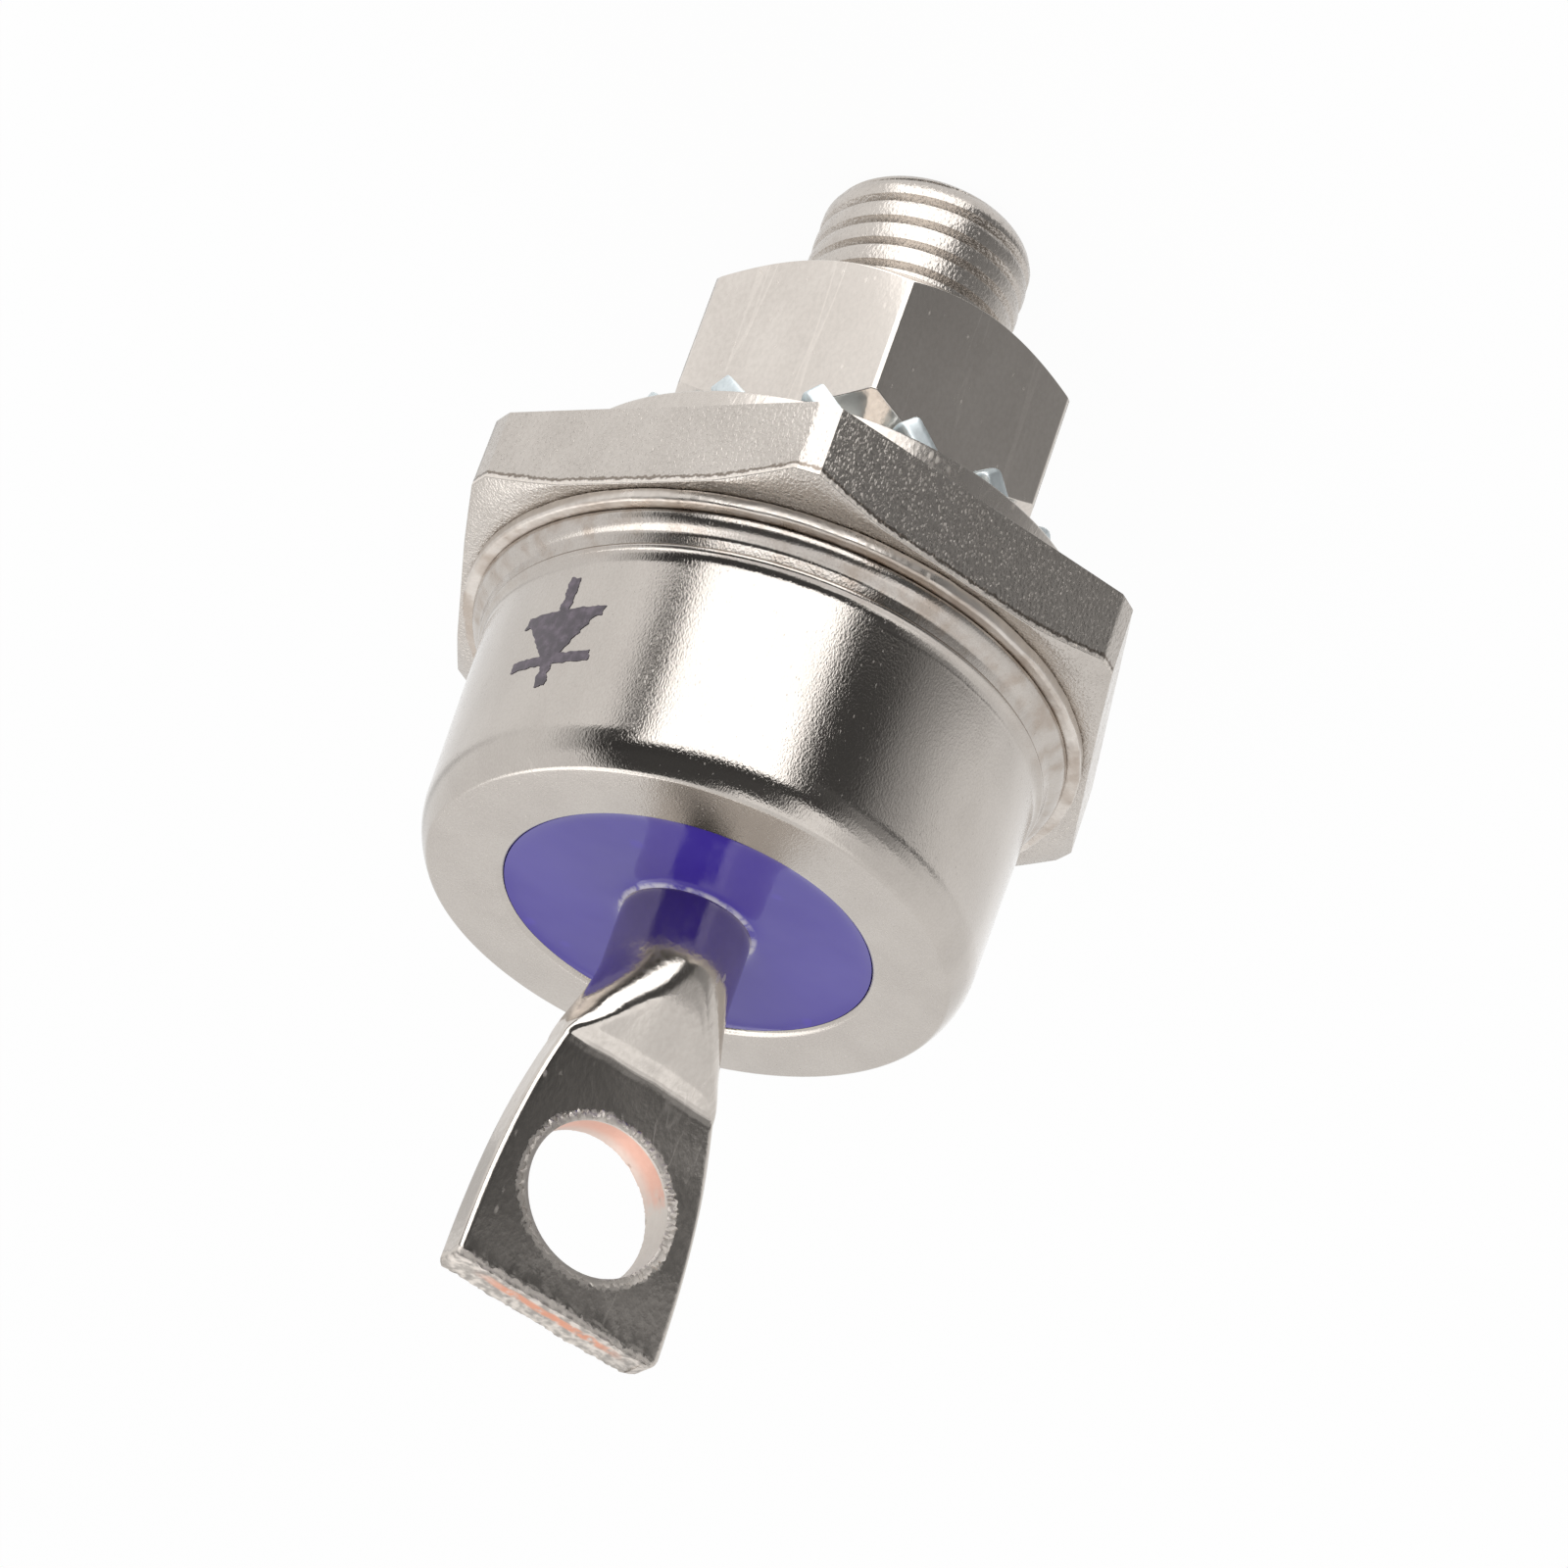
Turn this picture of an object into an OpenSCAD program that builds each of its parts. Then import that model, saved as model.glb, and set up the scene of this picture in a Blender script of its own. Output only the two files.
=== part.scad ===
// Stud-mounted rectifier diode with its mounting hardware.
// Origin: centre of the base's seating face. +Z runs along the axis to the
// terminal, the stud points along -Z, and the terminal's flat faces -Y.

/* [Base and stud] */
// Width of the hexagonal base across its flats
hex_af = 17.2; // [16.5:0.1:19]
// Depth that is turned off each corner of the base
corner_cut = 0.19; // [0.05:0.01:0.4]
// Thickness of the hexagonal base
hex_h = 2.45; // [2:0.05:5]
// Step from the base's flats out to the start of its corner chamfers
chamfer_step = 0.3; // [0.1:0.05:0.6]
// Slope of the base's corner chamfers, in degrees
hex_slope = 22; // [15:1:35]
// Turn of the base's flats about the axis, in degrees
hex_turn = 0.5; // [0:0.5:30]
// Diameter of the stud over its thread
stud_d = 5.9; // [5.7:0.05:6.4]
// Depth of the stud's thread
thread_depth = 0.55; // [0.4:0.05:0.7]
// Length of the stud below the seating face
stud_len = 12.9; // [11:0.1:20]
// Length of the rounded lead-in at the stud's end
stud_end_h = 1; // [0.4:0.1:1.2]
// Step from the thread's crest in to the stud's flat end face
stud_end_step = 1.25; // [0.5:0.05:1.5]
// Diameter of the raised pedestal that carries the die
pedestal_d = 10; // [9:0.1:11]
// Height of the pedestal above the base
pedestal_h = 0.5; // [0.3:0.05:1]

/* [Weld ring and cap] */
// Step from the base's flats in to the weld ring
ring_step = 0.15; // [0.05:0.05:0.3]
// Radial width of the weld ring
ring_w = 1.8; // [1.2:0.1:2.2]
// Thickness of the weld ring
ring_h = 0.4; // [0.2:0.05:0.8]
// Step from the weld ring in to the cap's brim
brim_step = 0.35; // [0.1:0.05:0.6]
// Thickness of the cap's brim
brim_h = 0.5; // [0.3:0.05:0.8]
// Width of the brim outside the cap's wall
brim_w = 0.55; // [0.45:0.05:0.9]
// Amount that the wall leans in from the brim to the face
cap_lean = 0.12; // [0:0.02:0.5]
// Height of the cap from the weld ring to its face
cap_h = 7.35; // [7:0.05:10]
// Wall of the cap
cap_wall = 0.6; // [0.4:0.05:0.8]
// Radius of the soft shoulder between wall and face
shoulder_r = 2; // [1.5:0.1:2.4]
// Turn of the shoulder from the wall to the rim of the face, in degrees
shoulder_turn = 36; // [25:1:45]
// Radius of the crisp rim of the face
rim_r = 0.15; // [0.1:0.05:0.25]
// Height of the hollow between brim and wall
foot_rise = 0.85; // [0.4:0.05:1.2]
// Width of the hollow between brim and wall
foot_run = 0.42; // [0.2:0.02:0.44]
// Radius of the rolled edge around the glass
lip_r = 0.2; // [0.1:0.05:0.3]

/* [Glass seal] */
// Diameter of the glass
glass_d = 9.86; // [9:0.02:10.4]
// Thickness of the glass
glass_h = 1.7; // [1.2:0.05:2]
// Depth of the glass under the cap's face
glass_sink = 0.15; // [0.05:0.05:0.3]
// Height that the glass climbs around the terminal
meniscus_h = 0.12; // [0.05:0.01:0.2]
// Width of the ring where the glass climbs
meniscus_w = 0.35; // [0.2:0.05:0.5]

/* [Terminal] */
// Outer diameter of the terminal tube
tube_d = 3.5; // [3:0.05:3.8]
// Wall of the terminal tube
tube_wall = 0.5; // [0.4:0.05:0.6]
// Length of the tube under the glass
tube_tail = 0.4; // [0.2:0.05:0.6]
// Round length of the tube above the cap's face
post_h = 1.7; // [1:0.1:4]
// Length over which the tube is flattened
flare_h = 3.1; // [2.5:0.1:5]
// Length of the flat tab
tab_len = 6.95; // [6:0.05:10]
// Width of the tab where it becomes flat
tab_start_w = 4.84; // [4.2:0.02:5.4]
// Width of the tab at its end
tab_end_w = 6.24; // [5.8:0.02:7]
// Radius of the tab's end corners
tab_corner_r = 0.3; // [0.1:0.05:0.5]
// Diameter of the eye
eye_d = 4.1; // [3.6:0.02:4.4]
// Distance from the eye's centre to the tab's end
eye_edge = 3.35; // [3.2:0.05:4]

/* [Die stack and inner lead] */
// Step from the pedestal's edge in to the lower buffer disc
lower_disc_step = 0.7; // [0.4:0.1:1]
// Step from the lower buffer disc in to the silicon die
die_step = 0.7; // [0.4:0.1:1]
// Step from the die's edge in to the upper buffer disc
upper_disc_step = 0.5; // [0.3:0.1:0.8]
// Thickness of the silicon die
die_h = 0.3; // [0.2:0.05:0.5]
// Thickness of each buffer disc
disc_h = 0.6; // [0.4:0.05:0.8]
// Thickness of each solder layer
solder_h = 0.1; // [0.05:0.01:0.15]
// Thickness of the inner lead's strip
lead_t = 0.4; // [0.3:0.05:0.5]
// Width of the inner lead's strip
lead_w = 2.2; // [1.6:0.1:2.3]
// Bend radius at the middle of the strip
lead_bend_r = 0.5; // [0.4:0.05:0.6]
// Straight run of the strip to each side of the axis
lead_run = 1.1; // [0.8:0.1:1.6]
// Radial room between the inner lead and the tube
lead_clear = 0.05; // [0.02:0.01:0.1]
// Length of the inner lead inside the tube
lead_grip = 3; // [2:0.1:3.6]

/* [Flat washer] */
// Outer diameter of the flat washer
washer_d = 15; // [12:0.1:16]
// Thickness of the flat washer
washer_t = 1.45; // [1:0.05:1.8]
// Rounded-off edge of the flat washer
washer_edge = 0.15; // [0.05:0.05:0.3]

/* [Tooth lock washer] */
// Outer diameter of the ring that carries the teeth
tooth_root_d = 9.4; // [9:0.1:9.8]
// Length of a tooth outside the ring
tooth_len = 1.65; // [1.3:0.05:2]
// Number of teeth
tooth_count = 15; // [12:1:16]
// Thickness of the sheet
tooth_t = 0.7; // [0.5:0.05:0.8]
// Width of a tooth at its root
tooth_root_w = 1.5; // [1.3:0.05:1.6]
// Width of a tooth at its tip
tooth_tip_w = 1.35; // [1:0.05:1.5]
// Twist of a tooth at its tip, in degrees
tooth_twist = 42; // [25:1:50]
// Turn of the first tooth about the axis, in degrees
tooth_turn = 16.6; // [0:0.2:30]

/* [Nut] */
// Width of the nut across its flats
nut_af = 9.9; // [9.6:0.05:10.2]
// Height of the nut
nut_h = 4.9; // [4.5:0.05:5.2]
// Step from the nut's flats in to the edge of its round end faces
nut_face_step = 0.3; // [0.1:0.05:0.4]
// Depth that is turned off each corner of the nut
nut_corner_cut = 0.05; // [0.02:0.01:0.2]
// Slope of the nut's corner chamfers, in degrees
nut_slope = 38; // [25:1:45]
// Radial width of the countersinks at both ends of the nut's hole
nut_sink = 0.4; // [0.2:0.05:0.6]
// Turn of the nut's flats about the axis, in degrees
nut_turn = 55.6; // [0:0.2:60]

/* [Clearances] */
// Radial room of the washers' holes around the stud
washer_clear = 0.25; // [0.1:0.05:0.4]
// Radial room between the nut's thread and the stud's
thread_clear = 0.03; // [0.01:0.01:0.06]
// Axial room of the teeth between washer and nut
tooth_clear = 0.02; // [0.01:0.01:0.05]

/* [Hidden] */
$fn = 96;

// Diameters that follow from the base, the stud, the pedestal and the nut
hex_corner_d = corner_d(hex_af) - 2 * corner_cut;
hex_chamfer_d = hex_af + 2 * chamfer_step;
ring_d = hex_af - 2 * ring_step;
brim_d = ring_d - 2 * brim_step;
cap_foot_d = brim_d - 2 * brim_w;
cap_top_d = cap_foot_d - 2 * cap_lean;
stud_end_d = stud_d - 2 * stud_end_step;
thread_mid_d = stud_d - thread_depth;
lower_disc_d = pedestal_d - 2 * lower_disc_step;
die_d = lower_disc_d - 2 * die_step;
upper_disc_d = die_d - 2 * upper_disc_step;
tooth_tip_d = tooth_root_d + 2 * tooth_len;
nut_corner_d = corner_d(nut_af) - 2 * nut_corner_cut;
nut_chamfer_d = nut_af - 2 * nut_face_step;

// Heights along the axis, from the seating face up to the end of the tab
cap_z = hex_h + ring_h;
brim_top_z = cap_z + brim_h;
face_z = cap_z + cap_h;
glass_top_z = face_z - glass_sink;
glass_z = glass_top_z - glass_h;
tube_z = glass_z - tube_tail;
flare_z = face_z + post_h;
tab_z = flare_z + flare_h;
tab_end_z = tab_z + tab_len;
eye_z = tab_end_z - eye_edge;

// Heights of the die stack on the pedestal
base_solder_z = hex_h + pedestal_h;
lower_disc_z = base_solder_z + solder_h;
lower_die_solder_z = lower_disc_z + disc_h;
die_z = lower_die_solder_z + solder_h;
upper_die_solder_z = die_z + die_h;
upper_disc_z = upper_die_solder_z + solder_h;
lead_solder_z = upper_disc_z + disc_h;
lead_z = lead_solder_z + solder_h;
lead_pitch = 2 * lead_bend_r;
lead_top_z = lead_z + 2 * lead_pitch + lead_t;

// Heights of the hardware under the seating face
tooth_tip_h = tooth_tip_w * sin(tooth_twist) + tooth_t * cos(tooth_twist);
lock_h = max(tooth_tip_h, tooth_t) + 2 * tooth_clear;
lock_mid_z = -washer_t - lock_h / 2;
nut_top_z = -washer_t - lock_h;
nut_end_z = nut_top_z - nut_h;

tube_bore_d = tube_d - 2 * tube_wall;
// The tube is pressed until its walls meet
tab_t = 2 * tube_wall;
lead_pin_d = tube_bore_d - 2 * lead_clear;
washer_hole_d = stud_d + 2 * washer_clear;
nut_hole_d = thread_mid_d + 2 * thread_clear;

// Small overlap that lets joined shapes of one piece run into each other
bite = 0.3;
// Step that keeps a shape just inside the one that it runs into
tuck = 0.02;

nickel = [0.76, 0.74, 0.71];
copper = [0.72, 0.45, 0.32];
solder = [0.62, 0.63, 0.66];
molybdenum = [0.5, 0.51, 0.54];

// Points of an arc about c, from angle a to angle b, in steps of the same size
function arc(c, r, a, b, steps = 6) =
    [for (i = [0 : steps]) c + r * [cos(a + (b - a) * i / steps), sin(a + (b - a) * i / steps)]];

// Corner-to-corner diameter of a hexagon
function corner_d(af) = af / cos(30);

module disc(d, h, z) {
    translate([0, 0, z]) cylinder(d = d, h = h);
}

module tube(d_out, d_in, h, z) {
    difference() {
        disc(d_out, h, z);
        translate([0, 0, z - bite]) cylinder(d = d_in, h = h + 2 * bite);
    }
}

// Solid of revolution that trims a hexagon's corners, with chamfers where asked
module corner_trim(d, chamfer_d, h, slope, low_chamfer) {
    drop = (d - chamfer_d) / 2 * tan(slope);
    low = low_chamfer ? [[chamfer_d / 2, 0], [d / 2, drop]] : [[d / 2, 0]];
    rotate_extrude() polygon(concat([[0, 0]], low, [[d / 2, h - drop], [chamfer_d / 2, h], [0, h]]));
}

module base_stud() {
    color(nickel) {
        intersection() {
            rotate(hex_turn) cylinder(d = corner_d(hex_af), h = hex_h, $fn = 6);
            corner_trim(hex_corner_d, hex_chamfer_d, hex_h, hex_slope, false);
        }
        disc(pedestal_d, pedestal_h + bite, hex_h - bite);
        stud();
    }
}

// Shank drawn over its thread, at half the thread's depth inside the nut, with a rounded free end
module stud() {
    crest = stud_d / 2;
    mid = thread_mid_d / 2;
    end = stud_end_d / 2;
    round_r = crest - end;
    rotate_extrude() polygon(concat(
        [[0, bite], [crest, bite], [crest, nut_top_z], [mid, nut_top_z], [mid, nut_end_z], [crest, nut_end_z]],
        [for (a = [0 : 15 : 90]) [end + round_r * cos(a), stud_end_h * (1 - sin(a)) - stud_len]],
        [[0, -stud_len]]));
}

module weld_ring() {
    color([0.7, 0.67, 0.63]) tube(ring_d, ring_d - 2 * ring_w, ring_h, hex_h);
}

// Drawn steel cap: brim, hollow foot, tapered wall, soft shoulder, crisp rim and the collar for the glass
module cap() {
    foot = cap_foot_d / 2;
    hole = glass_d / 2;
    rim_reach = shoulder_r - rim_r;
    shoulder_c = [cap_top_d / 2 - shoulder_r, face_z - rim_r - rim_reach * sin(shoulder_turn)];
    rim_c = shoulder_c + rim_reach * [cos(shoulder_turn), sin(shoulder_turn)];
    brim = [[brim_d / 2, cap_z], [brim_d / 2, brim_top_z]];
    hollow = [for (a = [0 : 15 : 90])
        [foot + foot_run * (1 - sin(a)), brim_top_z + foot_rise * (1 - cos(a))]];
    shoulder = arc(shoulder_c, shoulder_r, 0, shoulder_turn);
    rim = arc(rim_c, rim_r, shoulder_turn, 90);
    rim_rest = [for (i = [1 : len(rim) - 1]) rim[i]];
    lip = arc([hole + lip_r, face_z - lip_r], lip_r, 90, 180);
    collar = [[hole, glass_z], [hole + cap_wall, glass_z], [hole + cap_wall, face_z - cap_wall]];
    inner_r = shoulder_r - cap_wall;
    inner_turn = asin((face_z - cap_wall - shoulder_c[1]) / inner_r);
    inside = concat(arc(shoulder_c, inner_r, inner_turn, 0),
        [[foot - cap_wall, brim_top_z], [foot - cap_wall, cap_z]]);
    color([0.78, 0.75, 0.73]) rotate_extrude()
        polygon(concat(brim, hollow, shoulder, rim_rest, lip, collar, inside));
}

module glass_seal() {
    bore = tube_d / 2;
    color([0.36, 0.3, 0.62]) rotate_extrude() polygon([[bore, glass_z], [glass_d / 2, glass_z],
        [glass_d / 2, glass_top_z], [bore + meniscus_w, glass_top_z],
        [bore + meniscus_w / 3, glass_top_z + meniscus_h / 3], [bore, glass_top_z + meniscus_h]]);
}

// Points of a unit circle and of a unit square that belong together, side by side around the tube
flare_side = 8;
flare_points = 4 * flare_side;
function circle_point(i) = [cos(360 * i / flare_points - 45), sin(360 * i / flare_points - 45)];
function square_point(i) = let (side = floor(i / flare_side), u = 2 * (i % flare_side) / flare_side - 1)
    side == 0 ? [1, u] : side == 1 ? [-u, 1] : side == 2 ? [-1, -u] : [u, -1];
function ease(u) = u * u * (3 - 2 * u);

// Share of the pressing done at u, straighter than ease() in the middle
press_straight = 0.35;
function press(u) = press_straight * u + (1 - press_straight) * ease(u);

// One ring of the flattened stretch, where u runs from the round end to the flat end
function flare_ring(u) = let (
        half_w = (tube_d / 2 - tuck) * (1 - ease(u)) + tab_start_w / 2 * ease(u),
        half_t = (tube_d / 2 - tuck) * (1 - press(u)) + tab_t / 2 * press(u),
        flat = pow(u, 2))
    [for (i = [0 : flare_points - 1])
        let (p = circle_point(i) * (1 - flat) + square_point(i) * flat)
        [half_w * p[0], half_t * p[1], flare_z + flare_h * u]];

// The round tube pressed flat: rings from a circle to a slim rectangle
module flare() {
    steps = 12;
    root = [for (p = flare_ring(0)) p - [0, 0, bite]];
    rings = concat([root], [for (k = [0 : steps]) flare_ring(k / steps)]);
    n = flare_points;
    last = len(rings) - 1;
    ends = [[0, 0, flare_z - bite], [0, 0, tab_z]];
    sides = [for (k = [0 : last - 1], i = [0 : n - 1], half = [0, 1])
        let (a = k * n + i, b = k * n + (i + 1) % n)
        half == 0 ? [a, a + n, b] : [b, a + n, b + n]];
    low_end = [for (i = [0 : n - 1]) [len(rings) * n, i, (i + 1) % n]];
    high_end = [for (i = [0 : n - 1]) [len(rings) * n + 1, last * n + (i + 1) % n, last * n + i]];
    polyhedron(concat([for (ring = rings, p = ring) p], ends), concat(sides, low_end, high_end));
}

// Half-width of the tab at the share u of its length
tab_curve = 2.5;
function tab_half_w(u) = (tab_end_w - (tab_end_w - tab_start_w) * pow(1 - u, tab_curve)) / 2;

module tab() {
    steps = 10;
    body_len = tab_len - tab_corner_r;
    right = [for (i = [0 : steps]) [tab_half_w(i / steps), tab_z + body_len * i / steps]];
    corner = arc([tab_end_w / 2 - tab_corner_r, tab_end_z - tab_corner_r], tab_corner_r, 0, 90, 4);
    half = concat(right, [for (i = [1 : len(corner) - 1]) corner[i]]);
    outline = concat(half, [for (i = [len(half) - 1 : -1 : 0]) [-half[i][0], half[i][1]]]);
    rotate([90, 0, 0]) linear_extrude(height = tab_t, center = true) polygon(outline);
}

// Copper tube through the glass, pressed flat and punched at its free end
module terminal() {
    color(nickel) difference() {
        union() {
            tube(tube_d, tube_bore_d, flare_z - tube_z, tube_z);
            flare();
            tab();
        }
        translate([0, 0, eye_z]) rotate([90, 0, 0]) cylinder(d = eye_d, h = tab_t + 2 * bite, center = true);
    }
}

module base_solder() {
    color(solder) disc(lower_disc_d, solder_h, base_solder_z);
}

module lower_buffer_disc() {
    color(molybdenum) disc(lower_disc_d, disc_h, lower_disc_z);
}

module lower_die_solder() {
    color(solder) disc(die_d, solder_h, lower_die_solder_z);
}

module silicon_die() {
    color([0.28, 0.29, 0.33]) disc(die_d, die_h, die_z);
}

module upper_die_solder() {
    color(solder) disc(upper_disc_d, solder_h, upper_die_solder_z);
}

module upper_buffer_disc() {
    color(molybdenum) disc(upper_disc_d, disc_h, upper_disc_z);
}

module lead_solder() {
    foot_l = 2 * lead_run;
    color(solder) translate([-foot_l / 2, -lead_w / 2, lead_solder_z]) cube([foot_l, lead_w, solder_h]);
}

// Half of a flat ring, the bend of the strip, opening to the side given by dir
module lead_bend(x, z, dir) {
    translate([x, z]) intersection() {
        difference() {
            circle(r = lead_bend_r + lead_t / 2);
            circle(r = lead_bend_r - lead_t / 2);
        }
        translate([dir > 0 ? 0 : -2 * lead_pitch, -lead_pitch]) square([2 * lead_pitch, 2 * lead_pitch]);
    }
}

// Copper strip in an S, which gives as the parts warm up, and the pin that the tube grips
module inner_lead() {
    foot = lead_z + lead_t / 2;
    color(copper) {
        rotate([90, 0, 0]) linear_extrude(height = lead_w, center = true) {
            for (k = [0 : 2])
                translate([-lead_run, lead_z + k * lead_pitch]) square([2 * lead_run, lead_t]);
            lead_bend(lead_run, foot + lead_bend_r, 1);
            lead_bend(-lead_run, foot + lead_pitch + lead_bend_r, -1);
        }
        disc(lead_pin_d, tube_z + lead_grip - lead_top_z + lead_t / 2, lead_top_z - lead_t / 2);
    }
}

// Bead of silicone over the edge of the die
module junction_coating() {
    edge = die_d / 2;
    inner = upper_disc_d / 2;
    color([0.86, 0.85, 0.8]) rotate_extrude() polygon([[edge, lower_die_solder_z],
        [lower_disc_d / 2, lower_die_solder_z], [lower_disc_d / 2, die_z], [edge, upper_disc_z + solder_h],
        [inner, upper_disc_z + disc_h / 2], [inner, upper_die_solder_z], [edge, upper_die_solder_z]]);
}

module flat_washer() {
    r = washer_d / 2;
    hole = washer_hole_d / 2;
    color([0.74, 0.72, 0.68]) rotate_extrude() polygon([[hole, 0], [r, 0], [r, washer_edge - washer_t],
        [r - washer_edge, -washer_t], [hole, -washer_t]]);
}

// One twisted tooth along +X: its sections turn about the tooth's own middle line
module tooth() {
    steps = 5;
    start_r = tooth_root_d / 2 - 2 * bite;
    end_r = tooth_tip_d / 2;
    half_t = (tooth_t - tuck) / 2;
    points = [for (k = [0 : steps]) let (
            u = k / steps,
            turn = -tooth_twist * ease(u),
            half_w = (tooth_root_w * (1 - u) + tooth_tip_w * u) / 2)
        for (c = [[-1, -1], [1, -1], [1, 1], [-1, 1]])
        let (y = c[0] * half_w, z = c[1] * half_t)
        [start_r + (end_r - start_r) * u, y * cos(turn) - z * sin(turn), y * sin(turn) + z * cos(turn)]];
    sides = [for (k = [0 : steps - 1], i = [0 : 3], half = [0, 1])
        let (a = 4 * k + i, b = 4 * k + (i + 1) % 4)
        half == 0 ? [a, a + 4, b] : [b, a + 4, b + 4]];
    polyhedron(points, concat(sides, [[0, 1, 2, 3], [for (i = [3 : -1 : 0]) 4 * steps + i]]));
}

module tooth_lock_washer() {
    color([0.8, 0.83, 0.84]) difference() {
        union() {
            disc(tooth_root_d, tooth_t, lock_mid_z - tooth_t / 2);
            for (k = [0 : tooth_count - 1])
                translate([0, 0, lock_mid_z]) rotate(tooth_turn + 360 * k / tooth_count) tooth();
        }
        translate([0, 0, lock_mid_z - lock_h]) cylinder(d = washer_hole_d, h = 2 * lock_h);
    }
}

module hex_nut() {
    color(nickel) translate([0, 0, nut_end_z]) difference() {
        intersection() {
            rotate(nut_turn) cylinder(d = corner_d(nut_af), h = nut_h, $fn = 6);
            corner_trim(nut_corner_d, nut_chamfer_d, nut_h, nut_slope, true);
        }
        translate([0, 0, -bite]) cylinder(d = nut_hole_d, h = nut_h + 2 * bite);
        for (end = [0, 1])
            translate([0, 0, end * nut_h]) mirror([0, 0, end])
                cylinder(d1 = nut_hole_d + 2 * nut_sink, d2 = nut_hole_d, h = nut_sink);
    }
}

base_stud();
weld_ring();
cap();
glass_seal();
terminal();
base_solder();
lower_buffer_disc();
lower_die_solder();
silicon_die();
upper_die_solder();
upper_buffer_disc();
lead_solder();
inner_lead();
junction_coating();
flat_washer();
tooth_lock_washer();
hex_nut();
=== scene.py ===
"""Looks of a stud-mounted rectifier diode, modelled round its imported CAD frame."""

import math

import bmesh
import bpy
from bpy.props import FloatProperty, FloatVectorProperty, IntProperty, PointerProperty
from mathutils import Matrix, Vector, noise


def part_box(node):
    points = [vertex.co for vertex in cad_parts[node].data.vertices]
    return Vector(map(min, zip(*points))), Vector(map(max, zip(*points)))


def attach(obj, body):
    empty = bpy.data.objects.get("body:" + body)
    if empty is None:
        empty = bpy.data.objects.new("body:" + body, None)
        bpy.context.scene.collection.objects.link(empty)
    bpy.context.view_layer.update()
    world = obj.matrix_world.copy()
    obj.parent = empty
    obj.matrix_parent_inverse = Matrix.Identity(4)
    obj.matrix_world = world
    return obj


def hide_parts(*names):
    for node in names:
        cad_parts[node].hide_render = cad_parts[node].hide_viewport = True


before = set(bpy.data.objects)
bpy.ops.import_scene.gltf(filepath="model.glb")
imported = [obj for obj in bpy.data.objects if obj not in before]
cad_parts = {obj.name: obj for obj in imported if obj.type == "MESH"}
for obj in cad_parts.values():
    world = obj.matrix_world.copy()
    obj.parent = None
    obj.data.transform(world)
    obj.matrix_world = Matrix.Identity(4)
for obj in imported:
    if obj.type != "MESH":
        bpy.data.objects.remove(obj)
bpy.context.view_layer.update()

bl_info = {
    "name": "Stud Diode",
    "version": (1, 0, 0),
    "blender": (4, 5, 0),
    "location": "View3D > Sidebar > Stud Diode",
    "description": "Models a stud-mounted rectifier diode on its CAD frame",
    "category": "Mesh",
}

MM = 0.001
WELD = 1e-6
FULL_TURN = 2 * math.pi


def reach(node):
    """Radius, lowest and highest height of a node of the frame."""
    low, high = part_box(node)
    return high.x, low.z, high.z


RING_R, HEX_TOP, RING_TOP = reach("weld_ring")
BRIM_R, CAP_LOW, FACE_Z = reach("cap")
GLASS_R, GLASS_LOW, GLASS_PEAK = reach("glass_seal")
WASHER_R, WASHER_LOW, SEAT_Z = reach("flat_washer")
TIP_R, LOCK_LOW, LOCK_TOP = reach("tooth_lock_washer")
NUT_LOW, NUT_TOP = reach("hex_nut")[1:]
TAB_HALF_W, TUBE_LOW, TAB_END = reach("terminal")
TUBE_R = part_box("terminal")[1].y
STUD_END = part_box("base_stud")[0].z
PEDESTAL_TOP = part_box("base_stud")[1].z
LOCK_MID = (LOCK_LOW + LOCK_TOP) / 2

# How far a tool reaches past the piece it cuts, and how deep a joined piece sinks into its neighbour
TOOL_OVER = 0.5 * MM
SUNK = 0.3 * MM


def length(name, description, millimetres):
    """A property that holds a length."""
    return FloatProperty(name=name, description=description, default=millimetres * MM, unit="LENGTH",
                         precision=5)


def angle(name, description, degrees):
    """A property that holds an angle."""
    return FloatProperty(name=name, description=description, default=math.radians(degrees), subtype="ANGLE")


def colour(name, description, rgb):
    """A property that holds a colour."""
    return FloatVectorProperty(name=name, description=description, default=rgb, size=3, subtype="COLOR",
                               min=0.0, max=1.0)


def share(name, description, value):
    """A property that holds a share from 0 to 1."""
    return FloatProperty(name=name, description=description, default=value, min=0.0, max=1.0,
                         subtype="FACTOR")


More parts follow.
